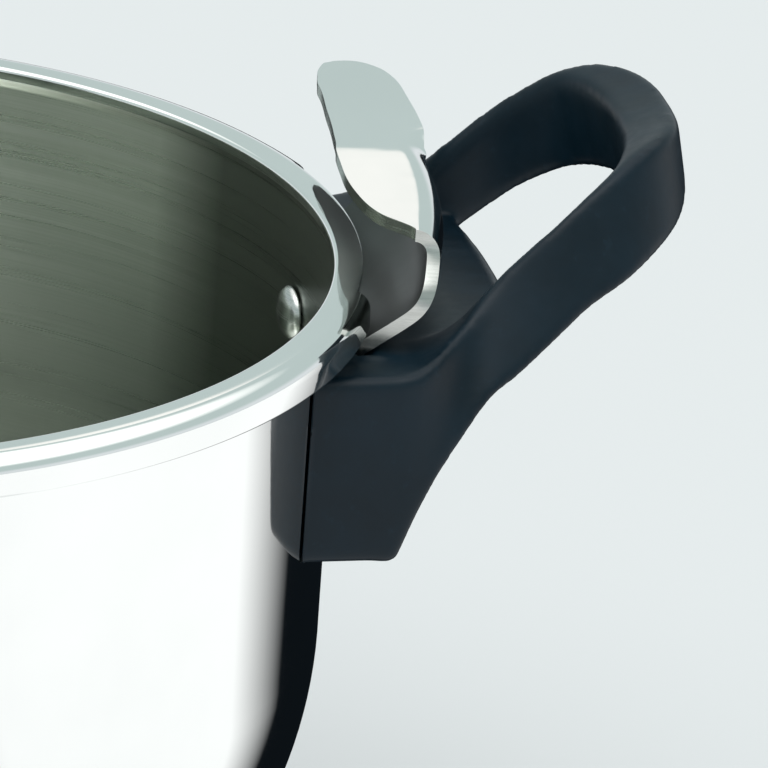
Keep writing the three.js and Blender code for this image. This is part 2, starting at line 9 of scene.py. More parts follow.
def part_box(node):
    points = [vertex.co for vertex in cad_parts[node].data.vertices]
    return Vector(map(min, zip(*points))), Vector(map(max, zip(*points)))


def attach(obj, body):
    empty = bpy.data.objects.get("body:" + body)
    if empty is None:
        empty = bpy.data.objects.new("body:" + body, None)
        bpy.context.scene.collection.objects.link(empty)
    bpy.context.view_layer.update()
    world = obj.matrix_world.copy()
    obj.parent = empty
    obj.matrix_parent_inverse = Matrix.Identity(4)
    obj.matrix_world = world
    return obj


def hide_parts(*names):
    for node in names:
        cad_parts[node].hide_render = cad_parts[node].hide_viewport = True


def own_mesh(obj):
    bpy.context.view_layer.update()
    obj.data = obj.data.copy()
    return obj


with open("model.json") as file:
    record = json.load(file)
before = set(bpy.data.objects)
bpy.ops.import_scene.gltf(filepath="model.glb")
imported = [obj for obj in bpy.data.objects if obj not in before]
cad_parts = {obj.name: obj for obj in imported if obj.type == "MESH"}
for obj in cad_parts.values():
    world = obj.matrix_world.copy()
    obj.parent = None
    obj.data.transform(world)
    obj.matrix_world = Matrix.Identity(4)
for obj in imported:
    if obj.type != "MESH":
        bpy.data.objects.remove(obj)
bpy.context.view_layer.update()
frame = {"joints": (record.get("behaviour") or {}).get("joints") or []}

mm = 0.001
potLow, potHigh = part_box("pot_shell")
rimTop = potHigh.z / mm
rimRadius = potHigh.y / mm
print("frame loaded, rim at", round(rimTop, 1), "mm, radius", round(rimRadius, 1), "mm")


class Value:
    # wraps a socket, so that sums on it add Math nodes
    def __init__(self, finish, socket):
        self.finish = finish
        self.socket = socket

    def maths(self, operation, first, second):
        return self.finish.add("ShaderNodeMath", {"operation": operation}, {0: first, 1: second})

    def __add__(self, other):
        return self.maths("ADD", self, other)

    def __radd__(self, other):
        return self.maths("ADD", other, self)

    def __sub__(self, other):
        return self.maths("SUBTRACT", self, other)

    def __rsub__(self, other):
        return self.maths("SUBTRACT", other, self)

    def __mul__(self, other):
        return self.maths("MULTIPLY", self, other)

    def __rmul__(self, other):
        return self.maths("MULTIPLY", other, self)

    def cosine(self):
        return self.maths("COSINE", self, 0.0)


class Finish:
    # one material, or the world, and the nodes that make it
    def __init__(self, name, owner=None):
        self.material = owner or bpy.data.materials.new(name)
        self.material.use_nodes = True
        self.tree = self.material.node_tree
        self.tree.nodes.clear()

    def add(self, kind, settings=None, values=None, out=0):
        node = self.tree.nodes.new(kind)
        for key, value in (settings or {}).items():
            if key == "stops":
                ramp = node.color_ramp.elements
                while len(ramp) < len(value):
                    ramp.new(0.5)
                for stop, (place, colour) in zip(ramp, value):
                    stop.position = place
                    stop.color = (*colour, 1) if len(colour) == 3 else colour
            else:
                setattr(node, key, value)
        for key, value in (values or {}).items():
            if isinstance(value, Value):
                self.tree.links.new(value.socket, node.inputs[key])
            else:
                node.inputs[key].default_value = value
        return Value(self, node.outputs[out]) if len(node.outputs) else node

    def objectPlace(self):
        return self.add("ShaderNodeTexCoord", out=3)

    def stretched(self, scale=(1, 1, 1), turn=(0, 0, 0)):
        values = {"Vector": self.objectPlace(), "Scale": scale, "Rotation": turn}
        return self.add("ShaderNodeMapping", None, values)

    def axis(self, place, number):
        return self.add("ShaderNodeSeparateXYZ", None, {0: place}, out=number)

    def angleRound(self, place):
        x, y = self.axis(place, 0), self.axis(place, 1)
        return x.maths("ARCTAN2", y, x)

    def noise(self, place, scale, detail=3, roughness=0.55):
        values = {"Vector": place, "Scale": scale, "Detail": detail, "Roughness": roughness}
        return self.add("ShaderNodeTexNoise", None, values)

    def spread(self, value, low, high, newLow=0, newHigh=1):
        values = {"Value": value, "From Min": low, "From Max": high, "To Min": newLow, "To Max": newHigh}
        return self.add("ShaderNodeMapRange", {"clamp": True}, values)

    def blend(self, factor, first, second):
        rgba = [c if isinstance(c, Value) else (*c, 1) for c in (first, second)]
        return self.add("ShaderNodeMix", {"data_type": "RGBA"}, {0: factor, 6: rgba[0], 7: rgba[1]}, out=2)

    def bump(self, height, depth, under=None):
        values = {"Height": height, "Distance": depth, "Strength": 1.0}
        if under:
            values["Normal"] = under
        return self.add("ShaderNodeBump", None, values)

    def surface(self, values):
        shader = self.add("ShaderNodeBsdfPrincipled", None, values)
        self.add("ShaderNodeOutputMaterial", None, {"Surface": shader})
        return self.material

    def metal(self, colour, rough, normal):
        return self.surface({"Base Color": colour, "Metallic": 1.0, "Roughness": rough, "Normal": normal})


def polishedSteel(name, look):
    f = Finish(name)
    haze = f.noise(f.stretched(), look["hazeScale"], 4)
    wisps = f.noise(f.stretched((1, 0.25, 1), (0.4, 0.3, 0.7)), look["wispScale"], 6, 0.65)
    tint = f.blend(f.spread(haze, 0.35, 0.7), look["colour"], look["warmer"])
    rough = f.spread(haze * 0.6 + wisps * 0.4, 0.35, 0.7, look["smooth"], look["rough"])
    ripple = f.bump(f.noise(f.stretched(), look["rippleScale"], 2), look["rippleDepth"] * mm)
    scratches = f.noise(f.stretched((60, 900, 60), (0.5, 0.2, 0.9)), 1, 2)
    return f.metal(tint, rough, f.bump(scratches, look["scratchDepth"] * mm, ripple))


# lines left by brushing round the pot, level on the wall and circular on the floor; the colour also carries
# painted shade, by angle round the pot and by depth on the far wall
def brushedSteelPaintedShade(name, look):
    f = Finish(name)
    place = f.objectPlace()
    level = f.noise(f.stretched((5, 5, look["lines"])), 1, 5, 0.7)
    broad = f.noise(f.stretched((3, 3, look["lines"] * 0.12)), 1, 3, 0.6)
    flat = f.add("ShaderNodeVectorMath", {"operation": "MULTIPLY"}, {0: place, 1: (1, 1, 0)})
    length = f.add("ShaderNodeVectorMath", {"operation": "LENGTH"}, {0: flat}, out=1)
    rings = f.add("ShaderNodeCombineXYZ", None, {0: length * look["lines"]})
    circles = f.noise(rings, 1, 4, 0.7)
    height = f.axis(place, 2)
    onFloor = f.spread(height, look["floorHeight"] * mm, (look["floorHeight"] + look["floorFade"]) * mm, 1, 0)
    lines = level * (1 - onFloor) + circles * onFloor
    tone = f.blend(f.spread(lines, 0.3, 0.7), look["dark"], look["light"])
    clouds = f.noise(f.stretched((1, 1, 2.5)), 26, 3)
    clouded = f.blend(f.spread(clouds, 0.3, 0.75, 0, 0.5), tone, look["cloud"])
    # painted shade: cosine bands by angle darken the colour towards two opposite sides of the pot, by the
    # handles
    bands = ((f.angleRound(place) - math.radians(look["shadeAngle"])) * 2.0).cosine()
    shade = f.spread(bands, look["shadeFrom"], look["shadeTo"], 0, look["shade"])
    # painted shade: lower down the colour darkens, on the far wall (y above 0) only, and the floor takes half
    # of all painted shade
    low, high = ((rimTop - depth) * mm for depth in (look["depthShadeTo"], look["depthShadeFrom"]))
    paintedDepthShade = f.spread(height, high, low, 0, look["depthShade"])
    paintedFarWallShade = paintedDepthShade * f.spread(f.axis(place, 1), 0, look["depthShadeSide"] * mm)
    colour = f.blend((shade + paintedFarWallShade * (1 - shade)) * (1 - onFloor * 0.5), clouded, look["paintedShadeColour"])
    rough = f.spread(lines * 0.6 + broad * 0.4, 0.3, 0.7, look["smooth"], look["rough"])
    return f.metal(colour, rough, f.bump(lines, look["depth"] * mm, f.bump(broad, look["depth"] * 0.9 * mm)))


def turnedSteel(name, look):
    f = Finish(name)
    rings = f.noise(f.stretched((40, 40, look["lines"])), 1, 3, 0.6)
    stains = f.noise(f.stretched(), 90, 4)
    colour = f.blend(f.spread(stains * 0.5 + rings * 0.5, 0.35, 0.7), look["dark"], look["light"])
    rough = f.spread(rings, 0.3, 0.75, look["smooth"], look["rough"])
    return f.metal(colour, rough, f.bump(rings, look["depth"] * mm))


def bakelite(name, look):
    f = Finish(name)
    flow = f.noise(f.stretched((1, 2.2, 1)), 55, 5, 0.6)
    grain = f.noise(f.stretched(), 2400, 2)
    dust = f.noise(f.stretched(), 420, 3)
    colour = f.blend(f.spread(flow, 0.35, 0.7), look["dark"], look["light"])
    speck = f.blend(f.spread(dust, 0.62, 0.72, 0, 0.35), colour, look["dusty"])
    rough = f.spread(flow * 0.5 + dust * 0.5, 0.35, 0.65, look["smooth"], look["rough"])
    normal = f.bump(grain, look["grain"] * mm, f.bump(flow, look["wave"] * mm))
    return f.surface({"Base Color": speck, "Roughness": rough, "Normal": normal, "IOR": look["index"]})


def silicone(name, look):
    f = Finish(name)
    cloud = f.noise(f.stretched(), 60, 4)
    fine = f.noise(f.stretched(), 1500, 2)
    colour = f.blend(f.spread(cloud, 0.35, 0.7), look["dark"], look["light"])
    rough = f.spread(cloud, 0.3, 0.7, look["smooth"], look["rough"])
    return f.surface({"Base Color": colour, "Roughness": rough, "Normal": f.bump(fine, look["grain"] * mm)})


polish = {"colour": (0.86, 0.885, 0.875), "warmer": (0.80, 0.83, 0.82), "smooth": 0.035, "rough": 0.085,
          "hazeScale": 14, "wispScale": 45, "rippleScale": 30, "rippleDepth": 0.012, "scratchDepth": 0.0012}
hookPolish = {**polish, "smooth": 0.06, "rough": 0.12, "rippleScale": 75, "rippleDepth": 0.045}
# painted shade: the bracket's inner face is the same steel made nearly black, and duller
hookDullShaded = {**hookPolish, "colour": (0.055, 0.066, 0.062), "warmer": (0.016, 0.019, 0.017),
            "smooth": 0.30, "rough": 0.42}
# the pot's inside: brushed tone and lines, and painted shade (its dark colour, and how it spreads by angle
# and by depth)
inside = {"dark": (0.80, 0.85, 0.77), "light": (0.98, 1.0, 0.95), "cloud": (0.90, 0.94, 0.87), "lines": 2600,
          "paintedShadeColour": (0.15, 0.175, 0.15), "shadeAngle": 8, "shadeFrom": 0.55, "shadeTo": 0.8, "shade": 0.85,
          "depthShade": 0.8, "depthShadeFrom": 22, "depthShadeTo": 62, "depthShadeSide": 30, "smooth": 0.24, "rough": 0.36,
          "depth": 0.004, "floorHeight": 10, "floorFade": 14}
turning = {"dark": (0.48, 0.50, 0.49), "light": (0.74, 0.76, 0.75), "lines": 2600,
           "smooth": 0.16, "rough": 0.32, "depth": 0.006}
aluminium = {**turning, "dark": (0.62, 0.63, 0.64), "light": (0.84, 0.85, 0.86), "smooth": 0.3, "rough": 0.45}
plated = {**turning, "dark": (0.46, 0.47, 0.46), "light": (0.66, 0.67, 0.66), "lines": 900}
hookSheared = {**turning, "dark": (0.36, 0.38, 0.36), "light": (0.60, 0.62, 0.60), "lines": 700}
hookMill = {**turning, "dark": (0.80, 0.83, 0.81), "light": (0.92, 0.94, 0.92), "smooth": 0.5, "rough": 0.6}
brass = {**turning, "dark": (0.55, 0.36, 0.13), "light": (0.83, 0.61, 0.27)}
moulded = {"dark": (0.001, 0.008, 0.014), "light": (0.002, 0.012, 0.021), "dusty": (0.004, 0.018, 0.030),
           "smooth": 0.34, "rough": 0.44, "grain": 0.004, "wave": 0.03, "index": 1.30}
rubberLook = {"dark": (0.20, 0.21, 0.215), "light": (0.30, 0.315, 0.32), "smooth": 0.5, "rough": 0.7,
              "grain": 0.01}

polishFinish = polishedSteel("polishedSteel", polish)
hookFinish = polishedSteel("hookSteel", hookPolish)
hookInsideShaded = polishedSteel("hookInsideShadedSteel", hookDullShaded)
hookUnder = turnedSteel("hookUnderSteel", hookMill)
hookEdge = turnedSteel("hookEdgeSteel", hookSheared)
insideFinish = brushedSteelPaintedShade("brushedInsidePaintedShade", inside)
turnedFinish = turnedSteel("turnedSteel", turning)
coreFinish = turnedSteel("coreAluminium", aluminium)
platedFinish = turnedSteel("platedSteel", plated)
brassFinish = turnedSteel("valveBrass", brass)
blackFinish = bakelite("blackBakelite", moulded)
sealFinish = silicone("greySilicone", rubberLook)
print("finishes made")


# rounds the corners of a profile: each point is (x, y) or (x, y, radius)
def rounded(points, closed=False, steps=5):
    made = []
    count = len(points)
    for i, point in enumerate(points):
        here = np.array(point[:2], float)
        radius = point[2] if len(point) > 2 else 0
        if not radius or (not closed and i in (0, count - 1)):
            made.append(tuple(here))
            continue
        before = np.array(points[i - 1][:2], float) - here
        after = np.array(points[(i + 1) % count][:2], float) - here
        lengthBefore, lengthAfter = np.linalg.norm(before), np.linalg.norm(after)
        before, after = before / lengthBefore, after / lengthAfter
        half = math.acos(max(-1, min(1, float(before @ after)))) / 2
        back = min(radius / math.tan(half), lengthBefore * 0.49, lengthAfter * 0.49)
        radius = back * math.tan(half)
        centre = here + (before + after) / np.linalg.norm(before + after) * radius / math.sin(half)
        start, end = here + before * back - centre, here + after * back - centre
        sweep = math.atan2(start[0] * end[1] - start[1] * end[0], float(start @ end))
        for k in range(steps + 1):
            angle = sweep * k / steps
            c, s = math.cos(angle), math.sin(angle)
            made.append((centre[0] + start[0] * c - start[1] * s, centre[1] + start[0] * s + start[1] * c))
    return made


def turnZ(degrees):
    return Matrix.Rotation(math.radians(degrees), 4, "Z")


# lays a piece that was turned round Z along the radius at an angle, at a height in mm
def alongRadius(degrees, height):
    return turnZ(degrees) @ Matrix.Translation((0, 0, height * mm)) @ Matrix.Rotation(math.pi / 2, 4, "Y")


def jointNamed(name):
    return next(joint for joint in frame["joints"] if joint["name"] == name)


def linked(name, data):
    piece = bpy.data.objects.new(name, data)
    bpy.context.scene.collection.objects.link(piece)
    return piece


def meshPiece(name, points, faces, finish, sharp=35, transform=None):
    mesh = bpy.data.meshes.new(name)
    mesh.from_pydata([Vector(p) * mm for p in points], [], faces)
    if transform:
        mesh.transform(transform)
    mesh.materials.append(finish)
    tidyMesh(mesh, sharp)
    return linked(name, mesh)


def tidyMesh(mesh, sharp):
    made = bmesh.new()
    made.from_mesh(mesh)
    bmesh.ops.remove_doubles(made, verts=made.verts, dist=1e-6)
    bmesh.ops.recalc_face_normals(made, faces=made.faces)
    made.to_mesh(mesh)
    made.free()
    mesh.shade_smooth()
    mesh.set_sharp_from_angle(angle=math.radians(sharp))


# faces between rings of points listed one after another; where the last ring isn't joined to the first,
# both ends are closed
def ringFaces(rings, count, joined=False, closed=True):
    faces = []
    for i in range(rings if joined else rings - 1):
        after = (i + 1) % rings
        for j in range(count if closed else count - 1):
            k = (j + 1) % count
            faces.append((i * count + j, after * count + j, after * count + k, i * count + k))
    if not joined:
        faces += [tuple(range(count)), tuple((rings - 1) * count + j for j in range(count))]
    return faces


# turns a profile of (radius, height) round the Z axis; a closed profile makes a ring
def turnedPiece(name, profile, finish, steps=96, closed=False, sharp=35, transform=None, swell=None):
    points = []
    for i in range(steps):
        angle = 2 * math.pi * i / steps
        for r, z in profile:
            radius = swell(r, z, angle) if swell else r
            points.append((radius * math.cos(angle), radius * math.sin(angle), z))
    faces = ringFaces(steps, len(profile), True, closed)
    return meshPiece(name, points, faces, finish, sharp, transform)


# a sheet given as rows of points; faces only where the mask says
def gridPiece(name, rows, finish, mask=None):
    across = len(rows[0])
    points = [p for row in rows for p in row]
    faces = []
    for i in range(len(rows) - 1):
        for j in range(across - 1):
            if mask is None or mask(i, j):
                here, after = i * across + j, (i + 1) * across + j
                faces.append((here, here + 1, after + 1, after))
    return meshPiece(name, points, faces, finish)


# the piece as its modifiers leave it, as a plain mesh with no modifiers
def plainMesh(piece, sharp=None):
    seen = bpy.context.evaluated_depsgraph_get()
    mesh = bpy.data.meshes.new_from_object(piece.evaluated_get(seen))
    piece.modifiers.clear()
    piece.data = mesh
    if sharp:
        tidyMesh(mesh, sharp)
    return piece


def modify(piece, kind, **settings):
    modifier = piece.modifiers.new(kind.title(), kind)
    for key, value in settings.items():
        setattr(modifier, key, value)
    return modifier


def softEdges(piece, width):
    modify(piece, "BEVEL", width=width * mm, segments=2, limit_method="ANGLE", angle_limit=math.radians(50))


def cutAway(piece, cutters, sharp=35):
    for cutter in cutters:
        modify(piece, "BOOLEAN", operation="DIFFERENCE", object=cutter, solver="EXACT")
    plainMesh(piece, sharp)
    for cutter in cutters:
        bpy.data.objects.remove(cutter)
    return piece


def fit(piece, body, slot, *nodes):
    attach(piece, body)
    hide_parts(*nodes)
    return piece


# a node tree for one piece, and the identifiers of its named inputs
def newTree(name, *inputs):
    tree = bpy.data.node_groups.new(name, "GeometryNodeTree")
    tree.interface.new_socket("Geometry", in_out="OUTPUT", socket_type="NodeSocketGeometry")
    new = tree.interface.new_socket
    return tree, [new(word, in_out="INPUT", socket_type="NodeSocketFloat").identifier for word in inputs]


# ends a tree in Realize Instances and Set Material, and keeps the mesh that it makes
def bakedTree(name, tree, geometry, finish, values, sharp):
    new, link = tree.nodes.new, tree.links.new
    solid, paint = new("GeometryNodeRealizeInstances"), new("GeometryNodeSetMaterial")
    made = new("NodeGroupOutput")
    paint.inputs["Material"].default_value = finish
    link(geometry, solid.inputs[0])
    link(solid.outputs[0], paint.inputs[0])
    link(paint.outputs[0], made.inputs[0])
    piece = linked(name, bpy.data.meshes.new(name))
    modifier = piece.modifiers.new("Nodes", "NODES")
    modifier.node_group = tree
    for key, value in values.items():
        modifier[key] = value
    return plainMesh(piece, sharp)


def smoothStep(low, high, value):
    t = np.clip((value - low) / (high - low), 0, 1)
    return t * t * (3 - 2 * t)


pot = {"mouth": 110, "wall": 1.0, "wallTop": 111.8, "lean": 1.7, "bellyRadius": 82, "bellyHeight": 60.4,
       "bottom": 7.6, "floor": 1.6, "shoulder": 3.5, "rimSheet": 1.7, "skirt": 7.4,
       "notchAngle": 17.5, "notchDepth": 2.6, "capSheet": 1.0}
sides = (("right", 0), ("left", 180))


def wallRadius(z):
    straight = rimTop - pot["bottom"] - pot["bellyHeight"]
    depth = rimTop - z
    if depth <= straight:
        return pot["wallTop"] - pot["lean"] * depth / straight
    across = math.sqrt(pot["bellyRadius"] ** 2 - (depth - straight) ** 2)
    return pot["wallTop"] - pot["lean"] - pot["bellyRadius"] + across


def potProfile():
    bottom, floor = pot["bottom"], pot["bottom"] + pot["floor"]
    heights = [bottom + 2 + (rimTop - bottom - 14) * i / 44 for i in range(45)]
    outside = [(wallRadius(z), z) for z in heights]
    within = [(wallRadius(z) - pot["wall"], z) for z in reversed(heights) if z > floor + 4]
    skirtIn = rimRadius - pot["rimSheet"]
    foot = wallRadius(bottom + 1) - 3
    rings = [i * foot / 14 for i in range(15)]
    corner = wallRadius(floor + 2) - pot["wall"]
    path = [(r, bottom) for r in rings] + [(wallRadius(bottom), bottom, 2)] + outside
    path += [(pot["wallTop"], rimTop - pot["rimSheet"], 0.8), (skirtIn, rimTop - pot["rimSheet"], 1.7)]
    path += [(skirtIn, rimTop - pot["skirt"], 0.4), (rimRadius, rimTop - pot["skirt"], 0.6)]
    path += [(rimRadius, rimTop, pot["shoulder"]), (pot["mouth"], rimTop, 0.9)]
    path += [(pot["mouth"], rimTop - 2.2, 0.8), (wallRadius(rimTop) - pot["wall"], rimTop - 4, 1.5)]
    path += within + [(corner - 1.2, floor, 4)]
    path += [(r, floor) for r in reversed(rings)]
    return rounded(path, steps=7)


def sectorBlock(name, fromAngle, toAngle, inner, outer, low, high):
    steps = 24
    points = []
    for i in range(steps + 1):
        angle = math.radians(fromAngle + (toAngle - fromAngle) * i / steps)
        for r, z in ((inner, low), (outer, low), (outer, high), (inner, high)):
            points.append((r * math.cos(angle), r * math.sin(angle), z))
    return meshPiece(name, points, ringFaces(steps + 1, 4), polishFinish)


def makePot():
    shell = turnedPiece("potShell", potProfile(), polishFinish, steps=288)
    shell.data.materials.append(insideFinish)
    notches = []
    for _, side in sides:
        angle = pot["notchAngle"]
        notches.append(sectorBlock("notch", side - angle, side + angle, rimRadius - pot["notchDepth"],
                                   rimRadius + 8, rimTop - pot["skirt"] - 3, rimTop + 3))
    cutAway(shell, notches)
    for face in shell.data.polygons:
        x, y, z = (v / mm for v in face.center)
        radius = math.hypot(x, y)
        inward = face.normal.x * x + face.normal.y * y < 0
        enclosed = pot["bottom"] + 1 < z < rimTop - 3 and radius < pot["mouth"] + 1.2
        if enclosed and (inward or face.normal.z > 0.3):
            face.material_index = 1
    fit(shell, "pot", "polished_pot_steel", "pot_shell")


def makeBase():
    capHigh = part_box("base_cap")[1]
    outer, top, sheet = capHigh.x / mm, capHigh.z / mm, pot["capSheet"]
    profile = [(0, 0), (outer * 0.5, 0), (outer, 0, 2.2), (outer, top, 0.4), (outer - sheet, top, 0.4),
               (outer - sheet, sheet, 1), (0, sheet)]
    cap = turnedPiece("baseCap", rounded(profile), polishFinish, steps=192)
    fit(cap, "pot", "polished_steel", "base_cap")
    low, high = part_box("base_core")
    outer, bottom, top = high.x / mm, low.z / mm, high.z / mm
    profile = [(0, bottom), (outer, bottom, 0.5), (outer, top, 0.5), (0, top)]
    core = turnedPiece("baseCore", rounded(profile), coreFinish, steps=128)
    fit(core, "pot", "core_aluminium", "base_core")


makePot()
makeBase()
print("pot made")

hook = {"sheet": 2.4, "halfAngle": 18, "flangeAngle": 14, "flangeTop": -16, "flangeBottom": -40, "wallEnd": 4,
        "channel": 128.8, "roofTop": 13, "slope": 2.8, "foldTurn": -10.6, "foldPlace": 5.9, "tip": 24.4,
        "farAngle": 12, "endTilt": 2.6, "tipRise": 0.1, "bevel": 0.35}


# free edge of the roof and tongue, and its outer edge, as radii at an angle in degrees
def roofEdges(angle):
    freeAngles = [-15.4, -14.5, -13, -11.3, -9.3, -6, -3, 2, 7.3, 10.5, 14, 20.5, 22.8, 24.4]
    freeRadii = [127.3, 124.2, 119.2, 116.8, 114.8, 112.9, 112.2, 112.4, 114.5, 116.1, 118, 123.2, 126.0,
                 130.0]
    outAngles = [-18, -6, 2, 5, 8, 14, 18.8, 21.2, 22.8, 23.9, 24.4]
    outRadii = [130.1, 130.1, 130.6, 131.4, 132.3, 135.0, 138.0, 138.2, 137.4, 135.6, 132.5]
    return float(np.interp(angle, freeAngles, freeRadii)), float(np.interp(angle, outAngles, outRadii))


def roofHeight(x, y):
    turn = math.radians(hook["foldTurn"])
    fold = Vector((rimRadius + 2, hook["foldPlace"]))
    near = (x - fold.x) * math.sin(turn) - (y - fold.y) * math.cos(turn)
    soft = 0.5 * (near + math.sqrt(near * near + 1.2))
    rise = hook["tipRise"] * smoothStep(20, 48, y)
    return rimTop + hook["roofTop"] - hook["sheet"] / 2 - soft * math.tan(math.radians(hook["slope"])) + rise


def smoothed(values, times=6):
    values = np.array(values, float)
    for _ in range(times):
        values[1:-1] = (values[:-2] + 2 * values[1:-1] + values[2:]) / 4
    return values


def bracketRows():
    half = hook["sheet"] / 2
    dense = [-17.7, -17, 3.4, 3.7, 3.85, 4, 4.15, 4.4, 20.5, 20.9, 21.3, 21.7, 22.4, 23.0, 23.5, 23.9, 24.2,
             hook["tip"]]
    angles = sorted(set(dense + [float(a) for a in range(-hook["halfAngle"], 21)]))
    tilts = [hook["endTilt"] * smoothStep(9, 18, -angle) for angle in angles]
    edges = [roofEdges(angle + tilt) for angle, tilt in zip(angles, tilts)]
    free, outer = smoothed([e[0] for e in edges], 2), smoothed([e[1] for e in edges], 2)
    rows = []
    for angle, tilt, freeRadius, outRadius in zip(angles, tilts, free, outer):
        section = []
        for k in range(6):
            z = rimTop + hook["flangeBottom"] + (hook["flangeTop"] - hook["flangeBottom"]) * k / 5
            section.append((wallRadius(z) + 0.3 + half, z))
        foot = [(113.5, -14.4), (114.0, -13.3), (115.0, -12.2), (117.5, -10.2), (120, -8.3), (122.5, -6.4),
                (124.9, -4.5), (126.5, -3.1), (127.7, -1.5), (128.5, 0.4), (128.8, 2.6)]
        section += [(r, rimTop + z) for r, z in foot]
        channel = hook["channel"]
        roofAngle = math.radians(angle + tilt)
        c, s = math.cos(roofAngle), math.sin(roofAngle)
        top = roofHeight(channel * c, channel * s)
        section += [(channel, top - 5.4), (channel, top - 3.4)]
        bend = [(channel - 0.25, top - 2.2), (channel - 0.9, top - 1.1), (channel - 2.0, top - 0.3),
                (channel - 3.0, top)]
        opened = smoothStep(1.5, 7.5, angle)
        flat = [outRadius - (outRadius - freeRadius) * k / 11 for k in range(12)]
        inEnd = min(freeRadius, channel - 3.6)
        shut = [r for r, _ in bend] + [channel - 3.0 - (channel - 3.0 - inEnd) * k / 8 for k in range(1, 9)]
        for k in range(12):
            r = shut[k] * (1 - opened) + flat[k] * opened
            z = roofHeight(r * c, r * s)
            if k < 4:
                z = bend[k][1] * (1 - opened) + z * opened
            section.append((r, z))
        row = []
        for r, z in section:
            a = math.radians(angle + tilt * smoothStep(-3, 10, z - rimTop))
            row.append((r * math.cos(a), r * math.sin(a), z))
        rows.append(row)
    return angles, rows


# the underside of the roof and tongue keeps a satin mill finish
def paintRoofUnder(mesh):
    mesh.materials.append(hookUnder)
    for face in mesh.polygons:
        if face.center.z / mm > rimTop + 8.5 and face.normal.z < -0.5:
            face.material_index = 3


def makeBrackets():
    angles, rows = bracketRows()

    def present(i, j):
        middle = (angles[i] + angles[i + 1]) / 2
        if j < 5:
            return -hook["flangeAngle"] < middle < hook["farAngle"]
        if j < 16:
            return middle < hook["farAngle"]
        if j < 19:
            return middle < hook["wallEnd"]
        return True

    for word, side in sides:
        bracket = gridPiece("hookBracket" + word.title(), rows, hookFinish, present)
        # material 1, for the sheet's inner face, is steel with painted shade
        bracket.data.materials.append(hookInsideShaded)
        bracket.data.materials.append(hookEdge)
        modify(bracket, "SOLIDIFY", thickness=hook["sheet"] * mm, offset=0.0, material_offset=1,
               material_offset_rim=2)
        softEdges(bracket, hook["bevel"])
        modify(bracket, "SUBSURF", levels=2, render_levels=2)
        plainMesh(bracket, 60)
        paintRoofUnder(bracket.data)
        bracket.data.transform(turnZ(side))
        fit(bracket, "pot", "polished_steel", "hook_bracket_" + word)


makeBrackets()

rivets = {"angle": 10.5, "depth": 25, "radius": 2.5, "headRadius": 5.3, "head": 2.4, "tail": 1.5}


def rivetPiece():
    z = rimTop - rivets["depth"]
    inner = wallRadius(z) - pot["wall"] - 0.35
    outer = wallRadius(z) + 0.6 + hook["sheet"]
    big, small = rivets["headRadius"], rivets["radius"]
    bends = np.linspace(0, math.pi / 2 * 0.93, 12)
    dome = [(big * math.sin(a), inner - rivets["head"] * math.cos(a)) for a in bends]
    profile = dome + [(big, inner - 0.3), (big, inner, 0.1), (small, inner), (small, outer)]
    profile += [(big - 1.5, outer, 0.1), (big - 1.5, outer + rivets["tail"], 0.5),
                (0, outer + rivets["tail"])]
    return turnedPiece("rivetShape", rounded(profile), turnedFinish, steps=40, transform=alongRadius(0, 0))


# Geometry Nodes: one shape at each of a list of angles round the pot
def scattered(name, shape, finish, height, angles, sharp):
    tree, (heightKey,) = newTree(name, "Height")
    new, link = tree.nodes.new, tree.links.new
    given, source = new("NodeGroupInput"), new("GeometryNodeObjectInfo")
    join = new("GeometryNodeJoinGeometry")
    source.inputs["Object"].default_value = shape
    for angle in angles:
        turn = new("GeometryNodeTransform")
        turn.inputs["Rotation"].default_value = (0, 0, math.radians(angle))
        lift = new("ShaderNodeCombineXYZ")
        link(given.outputs["Height"], lift.inputs[2])
        link(lift.outputs[0], turn.inputs["Translation"])
        link(source.outputs["Geometry"], turn.inputs["Geometry"])
        link(turn.outputs[0], join.inputs[0])
    return bakedTree(name, tree, join.outputs[0], finish, {heightKey: height * mm}, sharp)


def makeRivets():
    shape = rivetPiece()
    angles = [side + way * rivets["angle"] for _, side in sides for way in (-1, 1)]
    row = scattered("rivets", shape, turnedFinish, rimTop - rivets["depth"], angles, 40)
    bpy.data.objects.remove(shape)
    names = [f"rivet_{word}_{way}" for word, _ in sides for way in ("near", "far")]
    fit(row, "pot", "rivet_steel", *names)


screw = {"depth": 27, "radius": 2, "head": 5, "headHeight": 3, "slotWidth": 1.2, "slotDepth": 1.4,
         "clearance": 0.3}


def makeHandleScrews():
    shank, head = screw["radius"], screw["head"]
    for word, side in sides:
        low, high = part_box("handle_screw_" + word)
        far = max(abs(low.x), abs(high.x)) / mm
        near = min(abs(low.x), abs(high.x)) / mm
        under = far - screw["headHeight"]
        profile = [(0, near), (shank, near, 0.3), (shank, under), (head, under, 0.2), (head, far - 0.9, 0.8),
                   (head - 2, far, 1), (0, far)]
        place = alongRadius(side, rimTop - screw["depth"])
        piece = turnedPiece("handleScrew" + word.title(), rounded(profile), platedFinish, steps=48,
                            transform=place)
        cutAway(piece, [crossSlot(far, screw, place)])
        fit(piece, "pot", "fastener_steel", "handle_screw_" + word)


def crossSlot(top, size, place):
    w, r, d = size["slotWidth"] / 2, size["head"] * 0.62, size["slotDepth"]
    outline = [(w, w), (w, r), (-w, r), (-w, w), (-r, w), (-r, -w), (-w, -w), (-w, -r), (w, -r), (w, -w),
               (r, -w), (r, w)]
    points = [(x, y, top - d) for x, y in outline] + [(x, y, top + 1) for x, y in outline]
    count = len(outline)
    faces = [tuple(range(count)), tuple(range(count, 2 * count))]
    faces += [(i, (i + 1) % count, (i + 1) % count + count, i + count) for i in range(count)]
    return meshPiece("crossSlot", points, faces, platedFinish, transform=place)


makeRivets()
makeHandleScrews()
print("brackets and fasteners made")

handle = {"middle": 40, "drop": 48.1, "webTop": -9.8, "corner": 2.0, "belly": 2.6, "voxel": 0.75, "smooth": 9,
          "gap": 0.3}

